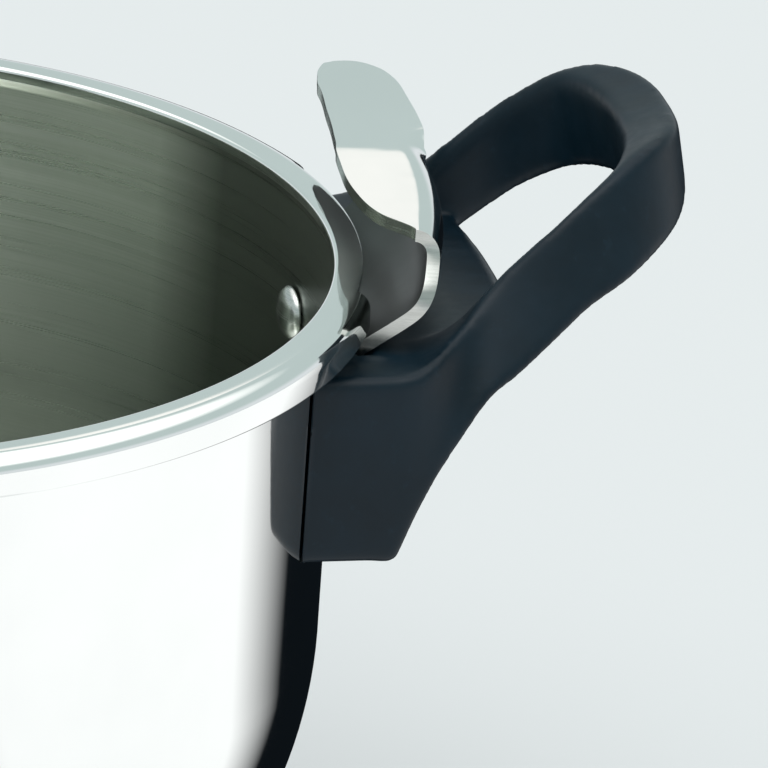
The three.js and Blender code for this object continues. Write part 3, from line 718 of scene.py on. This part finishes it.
# stations round half of the loop, from the block to its far end:
# reach from the axis, then (side, height) of the inner top, ridge, outer bottom and inner bottom edges
loopStations = [
    *[(reach, (30, -11.4), (49.4, -12.0), (49.5, -48), (30, -48)) for reach in (97.0, 105.0, 112.0)],
    (116.4, (30, -11.3), (49.3, -11.9), (49.5, -48), (30, -48)),
    (118.2, (30, -11.2), (49.1, -11.6), (49.5, -44.4), (30, -44.4)),
    (120.5, (30, -11.1), (48.4, -11.0), (49.4, -38.8), (30, -38.8)),
    (124.0, (30, -10.6), (45.8, -9.0), (49.0, -31.8), (30, -31.8)),
    (129.0, (30.3, -8.0), (40.2, -5.6), (47.8, -24.2), (30.3, -24.5)),
    (134.0, (30.8, -3), (35.6, -0.4), (46.2, -17.6), (30.8, -18.5)),
    (139.0, (31.0, 2.2), (33.6, 4.7), (44.2, -14.4), (31.0, -15)),
    (147.0, (30.4, 9.6), (32.8, 11.7), (41.4, -7.8), (30.6, -9.0)),
    (153.0, (28.2, 14.8), (31.0, 16.4), (39.0, -3.1), (28.6, -4.0)),
]
endStations = [
    ((158.0, 25.2, 18.8), (159.0, 28.8, 20.4), (161.0, 36.2, 1.4), (160.0, 24.8, 0.6)),
    ((161.0, 19.5, 20.6), (165.6, 24.4, 23.2), (168.8, 28.8, 5.3), (163.2, 18.6, 3.2)),
    ((162.6, 14.0, 21.0), (170.8, 18.0, 23.9), (173.6, 20.6, 7.8), (164.6, 13.0, 4.8)),
    ((163.6, 8.0, 21.0), (173.6, 10.4, 23.8), (175.8, 11.4, 10.0), (165.6, 7.5, 6.0)),
    ((164.0, 0.0, 21.0), (174.4, 0.0, 23.6), (176.3, 0.0, 10.8), (166.0, 0.0, 6.4)),
]


def loopSections():
    half = [[(reach, *corner) for corner in corners] for reach, *corners in loopStations]
    half += [list(corners) for corners in endStations]
    return half + [[(x, -y, z) for x, y, z in section] for section in reversed(half[:-1])]


# a smooth curve through every station, with extra points between
def through(stations, extra=4):
    stations = np.array(stations, float)
    made = []
    for i in range(len(stations) - 1):
        a, b = stations[max(i - 1, 0)], stations[i]
        c, d = stations[i + 1], stations[min(i + 2, len(stations) - 1)]
        for k in range(extra):
            t = k / extra
            made.append(b + 0.5 * t * (c - a + t * (2 * a - 5 * b + 4 * c - d + t * (3 * (b - c) + d - a))))
    made.append(stations[-1])
    return np.array(made)


# a section's corners, each rounded by points on a short curve
def softSection(corners, cut, steps=5):
    made = []
    count = len(corners)
    for i, corner in enumerate(corners):
        before, after = corners[i - 1] - corner, corners[(i + 1) % count] - corner
        start = corner + before * min(0.45, cut / max(np.linalg.norm(before), 1e-6))
        end = corner + after * min(0.45, cut / max(np.linalg.norm(after), 1e-6))
        for t in np.linspace(0, 1, steps):
            made.append((1 - t) ** 2 * start + 2 * t * (1 - t) * corner + t ** 2 * end)
    return made


def loopPiece():
    sections = [softSection(section, handle["corner"]) for section in through(loopSections())]
    points = [(x, y, z + rimTop) for section in sections for x, y, z in section]
    return meshPiece("handleLoop", points, ringFaces(len(sections), len(sections[0])), blackFinish)


# block against the pot, with the web that closes the inner end of the finger opening
def blockPiece():
    drop, webTop = -handle["drop"], handle["webTop"]
    side = [(97, drop), (116.9, drop), (118.2, -46.6), (121.0, -39), (124.3, -32), (129, -25), (134, -19.5),
            (139.5, -16.5), (141.0, -14.5), (140.6, webTop - 1.2), (139.0, webTop), (131, webTop),
            (121, -11.2), (97, -11.2)]
    points = []
    steps = 28
    for i in range(steps + 1):
        along = -1 + 2 * i / steps
        for reach, height in side:
            half = float(np.interp(reach, (118, 134, 141), (handle["middle"], 33.0, 32.0)))
            belly = handle["belly"] * (1 - along ** 2) if reach > 138 else 0
            points.append((reach + belly, half * along, rimTop + height))
    return meshPiece("handleBlock", points, ringFaces(steps + 1, len(side)), blackFinish)


# presses the handle's inner faces clear of the pot's wall, the bracket and the rivets
def seatHandle(mesh):
    co = np.empty(len(mesh.vertices) * 3, np.float64)
    mesh.vertices.foreach_get("co", co)
    co = co.reshape(-1, 3) / mm
    radius = np.hypot(co[:, 0], co[:, 1])
    angle = np.degrees(np.arctan2(co[:, 1], co[:, 0]))
    wallAt = np.array([wallRadius(z) for z in co[:, 2]]) + handle["gap"]
    inFlange = (np.abs(angle) < hook["flangeAngle"] + 0.8) & (co[:, 2] > rimTop + hook["flangeBottom"] - 1.2)
    least = np.where(inFlange, wallAt + hook["sheet"] + 2.6, wallAt)
    pushed = np.maximum(radius, least)
    scale = pushed / radius
    under = np.abs(angle) < hook["halfAngle"] + 0.9
    slope = rimTop + np.interp(pushed, (112, 115, 126.5, 129.4, 131.2), (-15.3, -14.3, -5.6, -2.4, 2.0))
    covered = under & (pushed < 131.2)
    co[:, 2] = np.where(covered, np.minimum(co[:, 2], slope - 0.25), co[:, 2])
    co[:, 0] *= scale
    co[:, 1] *= scale
    mesh.vertices.foreach_set("co", (co * mm).ravel())
    mesh.update()


def makeHandles():
    block, loop = blockPiece(), loopPiece()
    modify(block, "BOOLEAN", operation="UNION", object=loop, solver="EXACT")
    modify(block, "REMESH", mode="VOXEL", voxel_size=handle["voxel"] * mm)
    modify(block, "SMOOTH", factor=0.6, iterations=handle["smooth"])
    plainMesh(block)
    bpy.data.objects.remove(loop)
    seatHandle(block.data)
    shank, head = screw["radius"] + screw["clearance"], screw["head"] + screw["clearance"]
    hole = [(0, 100), (shank, 100), (shank, 121), (head, 121), (head, 150), (0, 150)]
    place = alongRadius(0, rimTop - screw["depth"])
    cutAway(block, [turnedPiece("bore", hole, blackFinish, steps=48, transform=place)], 50)
    for word, side in sides:
        piece = linked("handle" + word.title(), block.data.copy())
        piece.data.transform(turnZ(side))
        fit(piece, "pot", "black_bakelite", "handle_" + word)
    print("handle has", len(block.data.polygons), "faces")
    bpy.data.objects.remove(block)


makeHandles()
print("handles made")

# the lid's pieces are made in place on the pot, heights above the rim, then turned over to where it lies
turnJoint = jointNamed("lid_turnover")
pivot = Vector(turnJoint["pos_m"])
turnAxis = Vector(turnJoint["axis"])
lidPlace = (Matrix.Translation(pivot) @ Matrix.Rotation(-math.pi, 4, turnAxis) @ Matrix.Translation(-pivot)
            @ Matrix.Translation((0, 0, rimTop * mm)))
lid = {"radius": 111.9, "sheet": 1.0, "rise": 13, "brim": 4.2, "brimWidth": 7.5, "plateau": 76}
valves = {"place": 62, "angle": 118, "stem": 5, "clearance": 0.3}


def valvePlaceAt(angle):
    return lidPlace @ turnZ(angle) @ Matrix.Translation((valves["place"] * mm, 0, 0))


# the slot that goes with each finish of a turned part
slotNames = {"polishedSteel": "polished_steel", "turnedSteel": "turned_steel",
             "platedSteel": "fastener_steel",
             "valveBrass": "brass_pin", "blackBakelite": "black_bakelite", "greySilicone": "grey_silicone"}


def turnedPart(name, node, profile, finish, body, place=None, steps=64, closed=False, sharp=35, swell=None):
    outline = rounded(profile, closed)
    piece = turnedPiece(name, outline, finish, steps, closed, sharp, place or lidPlace, swell)
    return fit(piece, body, slotNames[finish.name], node)


def makeLidShell():
    r, rise, brim, sheet = lid["radius"], lid["rise"], lid["brim"], lid["sheet"]
    inner = r - lid["brimWidth"]
    flat = lid["plateau"]
    hill = [(flat, 0, 8), (flat + 8, -1.2, 10), (flat + 15, -4.2, 14), (inner - 8, -7.2, 6)]
    top = [(x, rise + z, q) for x, z, q in hill]
    top += [(inner - 4.5, 2.9, 2.5), (inner - 2.4, 2.6, 1.5), (inner - 1, brim - 1, 1),
            (inner + 0.4, brim, 1.2), (r - 1, brim), (r, brim, 0.45)]
    under = [(r, brim - sheet, 0.3), (inner + 1.2, brim - sheet, 0.8), (inner + 0.6, brim - sheet - 0.3),
             (inner - 0.6, 1.6, 0.8), (inner - 1.8, 1.3, 0.6), (inner - 4.5, 1.6, 3)]
    under += [(x, rise - sheet + z, q) for x, z, q in reversed(hill)]
    rings = [i * flat / 16 for i in range(16)]
    path = [(x, rise) for x in rings] + top + under + [(x, rise - sheet) for x in reversed(rings)]
    shell = turnedPiece("lidShell", rounded(path, steps=6), polishFinish, steps=240, transform=lidPlace)
    bore = valves["stem"] + valves["clearance"]
    hole = [(0, 0), (bore, 0), (bore, 30), (0, 30)]
    places = [valvePlaceAt(valves["angle"] + side) for _, side in sides]
    cutAway(shell, [turnedPiece("bore", hole, polishFinish, steps=40, transform=place) for place in places])
    fit(shell, "lid", "polished_steel", "lid_shell")


def makeGasket():
    inner, outer = lid["radius"] - lid["brimWidth"] + 1, lid["radius"] - 0.3
    top = lid["brim"] - lid["sheet"] - 0.3
    profile = [(inner, 0.3, 0.5), (inner + 2.6, 0.3, 0.3), (inner + 3.1, 0.8, 0.3), (inner + 3.6, 0.3, 0.3),
               (outer, 0.3, 0.6), (outer, top, 0.5), (inner, top, 0.8)]
    turnedPart("lidGasket", "lid_gasket", profile, sealFinish, "lid", steps=240, closed=True)


spindleSize = {"radius": 5, "foot": 9, "bossRadius": 16, "pitch": 3.0, "threadDepth": 0.45}
spring = {"wire": 0.45, "turns": 6, "radius": 2.7}
bar = {"rise": 31, "sheet": 3.2, "end": 4.6, "reach": 126, "half": 13, "endHalf": 10, "slot": 8.3,
       "crown": 1.1, "bevel": 0.5, "openAngle": 50}
knobSize = {"radius": 26, "low": 45, "top": 70, "lobes": 8, "dip": 1.4}


def makeBoss():
    low = lid["rise"] + 0.3
    top, foot = low + 8.7, low + 2.5
    wide = spindleSize["bossRadius"]
    profile = [(0, low), (wide, low, 0.4), (wide, low + 2, 0.8), (wide - 3, top - 1, 1.2),
               (wide - 4, top, 0.5), (9.3, top, 0.3), (9.3, foot - 0.3), (0, foot - 0.3)]
    turnedPart("lidBoss", "lid_boss", profile, turnedFinish, "lid", steps=96)
    low = foot + 3.5
    profile = [(5.3, low, 0.3), (8.9, low, 0.3), (8.9, low + 1.6, 0.3), (5.3, low + 1.6, 0.3)]
    turnedPart("retainingRing", "spindle_retaining_ring", profile, turnedFinish, "lid", closed=True)
    return foot, top


# a screw thread is real here: the surface follows a helix
def makeSpindle(foot):
    size = spindleSize
    start, end = foot + 6, knobSize["low"] + 1

    def thread(r, z, angle):
        if abs(r - size["radius"]) > 0.01 or not start < z < end:
            return r
        phase = (z / size["pitch"] + angle / (2 * math.pi)) % 1
        fade = min(1, (z - start) / 1.5, (end - z) / 1.5)
        return r - size["threadDepth"] * fade * (1 - abs(2 * phase - 1))

    radius, top, hollow = size["radius"], knobSize["top"] - 12, knobSize["low"] + 1
    shaft = [(radius, z) for z in np.arange(foot + 3.2, top, 0.25)]
    profile = [(0, foot), (size["foot"], foot, 0.3), (size["foot"], foot + 3.2, 0.5)] + shaft
    profile += [(radius, top), (2.3, top), (2.3, hollow), (0, hollow)]
    piece = turnedPiece("spindle", rounded(profile), turnedFinish, 48, False, 50, lidPlace, thread)
    fit(piece, "screw_knob", "turned_steel", "spindle")


def makeCollar(bossTop):
    low = bossTop + 0.3
    neck = bar["rise"] + bar["sheet"] - 0.1
    turn = lidPlace @ turnZ(bar["openAngle"])
    profile = [(5.3, low), (13, low, 0.5), (13, low + 2, 0.6), (8.9, low + 2, 0.3), (8.9, neck, 0.4),
               (5.3, neck)]

    def square(r, z, angle):
        if z < low + 2.1 or r < 8:
            return r
        quarter = (angle + math.pi / 4) % (math.pi / 2) - math.pi / 4
        return min(8 / math.cos(quarter), 10.6)

    turnedPart("swivelCollar", "swivel_collar", profile, turnedFinish, "bridge_swivel", turn,
               96, True, 30, square)


def makeBar():
    reach, rise = bar["reach"], bar["rise"]
    end, slot, wide, narrow = bar["end"], bar["slot"], bar["half"], bar["endHalf"]
    line = rounded([(0, rise), (29, rise, 20), (97, end + 4.6, 24), (107, end, 10), (reach, end)], steps=8)
    xs = np.array([p[0] for p in line])
    zs = np.array([p[1] for p in line])
    extra = [-slot, slot, 124.8, -124.8]
    along = sorted(set(np.round(np.concatenate([np.linspace(-reach, reach, 127), extra]), 3)))
    across = [-1, -0.94, -0.8, -0.66, -0.5, -0.3, 0, 0.3, 0.5, 0.66, 0.8, 0.94, 1]
    rows = []
    for x in along:
        width = float(np.interp(abs(x), (0, 30, 96, reach - 4, reach - 1.5, reach),
                                (wide, wide, narrow, narrow, 8.8, 6.6)))
        z = float(np.interp(abs(x), xs, zs)) + bar["sheet"] / 2
        crown = bar["crown"] * smoothStep(12, 40, abs(x)) * (1 - smoothStep(88, 106, abs(x)))
        rows.append([(x, width * w, z + crown * math.cos(w * math.pi / 2) ** 2) for w in across])

    def outsideSlot(i, j):
        return abs(along[i] + along[i + 1]) / 2 >= slot or abs(across[j] + across[j + 1]) / 2 >= 0.64

    piece = gridPiece("bridgeBar", rows, hookFinish, outsideSlot)
    modify(piece, "SOLIDIFY", thickness=bar["sheet"] * mm, offset=0.0)
    softEdges(piece, bar["bevel"])
    modify(piece, "SUBSURF", levels=1, render_levels=1)
    plainMesh(piece, 50)
    piece.data.transform(lidPlace @ turnZ(bar["openAngle"]))
    fit(piece, "bridge", "polished_steel", "bridge_bar")
    low = rise + bar["sheet"] + 0.3
    profile = [(5.3, low), (12.5, low, 0.4), (12.5, low + 1.6, 0.6), (9, low + 2.4, 1), (9, low + 6, 0.6),
               (5.3, low + 6, 0.4)]
    turnedPart("bridgeNut", "bridge_nut", profile, turnedFinish, "bridge", closed=True)


def makeKnob():
    low, top, radius = knobSize["low"], knobSize["top"], knobSize["radius"]
    seat = top - 12 + 0.3 + 1.7
    profile = [(5.3, low), (12, low, 0.8), (15, low + 5, 4), (radius - 2, low + 9, 4), (radius, low + 13, 3),
               (radius, top - 5, 3), (radius - 4, top, 3), (11.3, top, 0.6), (11.3, seat, 0.5), (2.3, seat),
               (2.3, top - 11.7), (5.3, top - 11.7)]

    def lobes(r, z, angle):
        grip = smoothStep(14, radius - 1, r)
        wave = knobSize["dip"] * (1 - math.cos(knobSize["lobes"] * angle))
        return r - grip * wave

    turnedPart("knob", "knob", profile, blackFinish, "screw_knob", None, 256, True, 40, lobes)
    low, high = seat + 0.6 + 3.1, top
    profile = [(0, low), (11, low, 0.3), (11, high, 0.8), (7.5, high, 0.3), (7.1, high - 0.4, 0.3),
               (0, high - 0.4)]
    turnedPart("knobCap", "knob_cap", profile, blackFinish, "screw_knob", steps=96)
    head = seat + 0.3
    tip = knobSize["low"] + 3
    profile = [(0, tip), (2, tip, 0.3), (2, head), (5, head, 0.2), (5, head + 2, 0.5), (4, head + 3, 0.8),
               (0, head + 3)]
    turnedPart("knobScrew", "knob_screw", profile, platedFinish, "screw_knob", steps=40)


# a six-sided nut with its corners turned off, heights above the rim
def hexNut(name, node, place, low, high, across, bore, body):
    profile = [(bore, low, 0.2), (across - 0.4, low, 0.5), (across, low + 0.7), (across, high - 0.7),
               (across - 0.4, high, 0.5), (bore, high, 0.2)]

    def hexed(r, z, angle):
        if r <= bore + 0.6:
            return r
        sixth = (angle + math.pi / 6) % (math.pi / 3) - math.pi / 6
        return min(across * 0.866 / math.cos(sixth), r)

    turnedPart(name, node, profile, platedFinish, body, place, 96, True, 30, hexed)


def makeVentValve():
    place = valvePlaceAt(valves["angle"])
    rise = lid["rise"]
    under = rise - lid["sheet"]
    nutLow = under - 0.3 - 1.3 - 0.3 - 3.7
    stemTop = rise + 21
    profile = [(1.2, nutLow - 1), (5, nutLow - 1, 0.5), (5, rise + 0.3), (8, rise + 0.3, 0.3),
               (8, rise + 3, 0.5),
               (4, rise + 4.5, 1), (4, stemTop - 3, 0.3), (2.2, stemTop, 0.3), (1.2, stemTop)]
    turnedPart("ventStem", "vent_stem", profile, turnedFinish, "lid", place, closed=True)
    low = rise + 7
    profile = [(0, stemTop + 0.3), (2.5, stemTop + 0.3), (4.3, stemTop - 2.7), (4.3, low, 0.3),
               (11, low, 0.4),
               (12, low + 1, 0.6), (12, low + 4, 0.3), (11.4, low + 4.6, 0.2), (11.4, low + 5.6, 0.2),
               (12, low + 6.2, 0.3), (12, low + 13, 1.2), (7, low + 16, 2), (7, low + 20, 0.3), (0, low + 20)]
    turnedPart("valveWeight", "valve_weight", profile, polishFinish, "regulator", place, 128)
    low = rise + 27.3
    profile = [(0, low), (9, low, 0.4), (10, low + 1, 0.6), (10, low + 3, 1.2), (8.5, low + 4.5, 1),
               (0, low + 4.5)]
    turnedPart("valveCap", "valve_cap", profile, blackFinish, "regulator", place, 96)
    return place, under, nutLow


def makeWashersAndNuts(under, nutLow):
    for word, node, angle in (("vent", "vent", 0), ("safety", "safety_valve", 180)):
        place = valvePlaceAt(valves["angle"] + angle)
        low, high = under - 1.6, under - 0.3
        profile = [(5.3, low, 0.3), (8.5, low, 0.4), (8.5, high, 0.4), (5.3, high, 0.3)]
        turnedPart(word + "Washer", node + "_washer", profile, sealFinish, "lid", place,
                   closed=True)
        hexNut(word + "Nut", node + "_nut", place, nutLow, nutLow + 3.7, 9, 5.3, "lid")


def makeSafetyValve(nutLow):
    place = valvePlaceAt(valves["angle"] + 180)
    rise = lid["rise"]
    low, top = nutLow - 1.7, rise + 14
    profile = [(4, low), (5, low, 0.3), (5, rise + 0.3), (8.5, rise + 0.3, 0.3), (8.5, rise + 4.3, 0.5),
               (7, rise + 5, 0.5), (7, top - 1, 0.8), (6, top, 0.4), (1.9, top, 0.3), (1.9, top - 3),
               (4, top - 3)]
    turnedPart("safetyValveBody", "safety_valve_body", profile, turnedFinish, "lid", place,
               closed=True)
    profile = [(1.6, low, 0.3), (3.8, low, 0.3), (3.8, low + 3, 0.3), (1.6, low + 3, 0.3)]
    turnedPart("safetyValveSeat", "safety_valve_seat", profile, turnedFinish, "lid", place,
               48, True)
    pin = low + 3.3
    profile = [(0, pin), (3.4, pin, 0.3), (3.4, pin + 1.7, 0.3), (1.4, pin + 1.7, 0.3), (1.4, top + 2),
               (1, top + 2.5, 0.4), (0, top + 2.5)]
    turnedPart("safetyPin", "safety_valve_pin", profile, brassFinish, "safety_pin", place, 32)
    makeSpring(place, pin + 2.0, top - 3.3)


# Geometry Nodes: a spiral with a round wire
def makeSpring(place, low, high):
    wire, radius = spring["wire"], spring["radius"]
    tree, (turnsKey, wireKey) = newTree("safetySpring", "Turns", "Wire radius")
    new, link = tree.nodes.new, tree.links.new
    given, spiral = new("NodeGroupInput"), new("GeometryNodeCurveSpiral")
    circle, tube = new("GeometryNodeCurvePrimitiveCircle"), new("GeometryNodeCurveToMesh")
    spiral.inputs["Resolution"].default_value = 24
    spiral.inputs["Start Radius"].default_value = radius * mm
    spiral.inputs["End Radius"].default_value = radius * mm
    spiral.inputs["Height"].default_value = (high - low - 2 * wire) * mm
    circle.inputs["Resolution"].default_value = 10
    tube.inputs["Fill Caps"].default_value = True
    link(given.outputs["Turns"], spiral.inputs["Rotations"])
    link(given.outputs["Wire radius"], circle.inputs["Radius"])
    link(spiral.outputs[0], tube.inputs["Curve"])
    link(circle.outputs[0], tube.inputs["Profile Curve"])
    values = {turnsKey: float(spring["turns"]), wireKey: wire * mm}
    coil = bakedTree("safetySpring", tree, tube.outputs[0], platedFinish, values, 60)
    coil.data.transform(place @ Matrix.Translation((0, 0, (low + wire) * mm)))
    fit(coil, "lid", "fastener_steel", "safety_valve_spring")
    fixedEnd = place @ Vector((0, 0, high * mm))
    keep = 1 - jointNamed("safety_pin_pop")["range_m"][1] / ((high - low) * mm)
    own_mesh(coil)


makeLidShell()
makeGasket()
footHeight, bossTop = makeBoss()
makeSpindle(footHeight)
makeCollar(bossTop)
makeBar()
makeKnob()
ventPlace, lidUnder, nutLow = makeVentValve()
makeWashersAndNuts(lidUnder, nutLow)
makeSafetyValve(nutLow)
print("lid made")


def makeHandleNuts():
    for word, side in sides:
        low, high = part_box("handle_nut_" + word)
        near = min(abs(low.x), abs(high.x)) / mm
        place = alongRadius(side, rimTop - screw["depth"])
        hexNut("handleNut" + word.title(), "handle_nut_" + word, place, near, near + 2, 4.5, 2.3, "pot")


makeHandleNuts()

studio = {"floorSize": 30, "floorColour": (0.61, 0.64, 0.65), "floorGlow": (0.785, 0.83, 0.84),
          "glowShare": 0.55, "floorDrop": 0.0004, "skyPale": (0.80, 0.835, 0.86),
          "skyGrey": (0.56, 0.65, 0.64),
          "skyTop": (1.5, 1.5, 1.47), "greyFrom": 0.10, "greyTo": 0.26, "topFrom": 0.56, "topTo": 0.72,
          "panel": (1.12, 1.1, 1.06), "panelPlace": (0.172, 0.882, 0.437), "panelAngles": (2.6, 3.5),
          "lampEnergy": 9}
card = {"radius": 3.0, "drop": 0.0002, "centre": (0.089, -0.063, 0), "white": 1.15, "darkFrom": (17, 41),
        "darkTo": (100, 125), "black": (0.004, 0.006, 0.008), "bandMiddle": 200, "bandShare": 0.8,
        "bandGrey": (0.30, 0.34, 0.35)}


def flatPiece(name, points, faces, drop, material):
    mesh = bpy.data.meshes.new(name)
    mesh.from_pydata(points, [], faces)
    mesh.materials.append(material)
    piece = linked(name, mesh)
    piece.location.z = -drop
    return piece


def makeFloor():
    size = studio["floorSize"]
    f = Finish("paleFloor")
    matt = f.add("ShaderNodeBsdfDiffuse", None, {"Color": (*studio["floorColour"], 1)})
    glow = f.add("ShaderNodeEmission", None, {"Color": (*studio["floorGlow"], 1), "Strength": 1.0})
    both = f.add("ShaderNodeMixShader", None, {0: studio["glowShare"], 1: matt, 2: glow})
    f.add("ShaderNodeOutputMaterial", None, {"Surface": both})
    corners = [(-size, -size, 0), (size, -size, 0), (size, size, 0), (-size, size, 0)]
    floor = flatPiece("floor", corners, [(0, 1, 2, 3)], studio["floorDrop"], f.material)


def cardPaint():
    f = Finish("cardPaint")
    place = f.add("ShaderNodeVectorMath", {"operation": "SUBTRACT"}, {0: f.objectPlace(), 1: card["centre"]})
    angle = f.angleRound(place)
    dark = f.spread(angle, *(math.radians(a) for a in card["darkFrom"]))
    lightAgain = f.spread(angle, *(math.radians(a) for a in card["darkTo"]), 1, 0)
    away = (angle - math.radians(card["bandMiddle"])).cosine()
    waves = (angle * 5.0).cosine()
    bands = f.spread(away, -0.1, 0.5) * f.spread(waves, -0.2, 0.9, 0, card["bandShare"])
    pale = f.blend(bands, (card["white"],) * 3, card["bandGrey"])
    colour = f.blend(dark * lightAgain, pale, card["black"])
    glow = f.add("ShaderNodeEmission", None, {"Color": colour, "Strength": 1.0})
    f.add("ShaderNodeOutputMaterial", None, {"Surface": glow})
    return f.material


# a flat card just above the floor that only reflections see: white, with grey bands on the left and
# black behind the pot's right side
def makeCard():
    steps = 96
    angles = [2 * math.pi * i / steps for i in range(steps)]
    points = [(0, 0, 0)] + [(card["radius"] * math.cos(a), card["radius"] * math.sin(a), 0) for a in angles]
    faces = [(0, 1 + i, 1 + (i + 1) % steps) for i in range(steps)]
    piece = flatPiece("tableCard", points, faces, card["drop"], cardPaint())
    piece.visible_camera = False
    piece.visible_diffuse = False
    piece.visible_shadow = False
    piece.visible_transmission = False


def makeSky():
    world = bpy.data.worlds.new("studioSky")
    bpy.context.scene.world = world
    f = Finish("sky", world)
    direction = f.add("ShaderNodeTexCoord", out=0)
    height = f.axis(direction, 2)
    grey = f.spread(height, studio["greyFrom"], studio["greyTo"])
    low = f.blend(grey, studio["skyPale"], studio["skyGrey"])
    high = f.blend(f.spread(height, studio["topFrom"], studio["topTo"]), low, studio["skyTop"])
    values = {0: direction, 1: studio["panelPlace"]}
    towards = f.add("ShaderNodeVectorMath", {"operation": "DOT_PRODUCT"}, values, out=1)
    near, far = (math.cos(math.radians(a)) for a in studio["panelAngles"])
    full = f.blend(f.spread(towards, far, near), high, studio["panel"])
    back = f.add("ShaderNodeBackground", None, {"Color": full, "Strength": 1.0})
    f.add("ShaderNodeOutputWorld", None, {"Surface": back})


def softLamp(name, place, target, size, energy):
    lamp = bpy.data.lights.new(name, "AREA")
    lamp.shape = "RECTANGLE"
    lamp.size, lamp.size_y = size
    lamp.energy = energy
    piece = linked(name, lamp)
    piece.location = place
    piece.rotation_mode = "QUATERNION"
    piece.rotation_quaternion = (Vector(target) - Vector(place)).to_track_quat("-Z", "Y")
    piece.visible_camera = False


# the camera stands low in front of the pot and looks past its axis at the right-hand handle
lens = {"azimuth": 11.0, "elevation": 21.05, "roll": 2.65, "distance": 1713, "left": 119.2, "below": 27.0,
        "focal": 436.6, "sensor": 36}


def makeCamera():
    a, e, roll = (math.radians(lens[k]) for k in ("azimuth", "elevation", "roll"))
    right = Vector((math.cos(a), -math.sin(a), 0))
    away = Vector((math.sin(a), math.cos(a), 0))
    up = Vector((0, 0, 1))
    forward = away * math.cos(e) - up * math.sin(e)
    lifted = away * math.sin(e) + up * math.cos(e)
    across = right * math.cos(roll) + lifted * math.sin(roll)
    upright = lifted * math.cos(roll) - right * math.sin(roll)
    rimCentre = up * rimTop
    place = rimCentre + across * lens["left"] - upright * lens["below"] - forward * lens["distance"]
    camera = linked("camera", bpy.data.cameras.new("camera"))
    frameAxes = Matrix((across, upright, -forward)).transposed().to_4x4()
    camera.matrix_world = Matrix.Translation(place * mm) @ frameAxes
    camera.data.lens = lens["focal"]
    camera.data.sensor_width = lens["sensor"]
    camera.data.clip_end = 100
    bpy.context.scene.camera = camera


makeFloor()
makeCard()
makeSky()
softLamp("overheadSoftbox", (-0.3, -0.5, 1.6), (0, 0, 0.1), (1.4, 1.0), studio["lampEnergy"])
makeCamera()
bpy.context.scene.view_settings.view_transform = "Standard"
print("studio made")
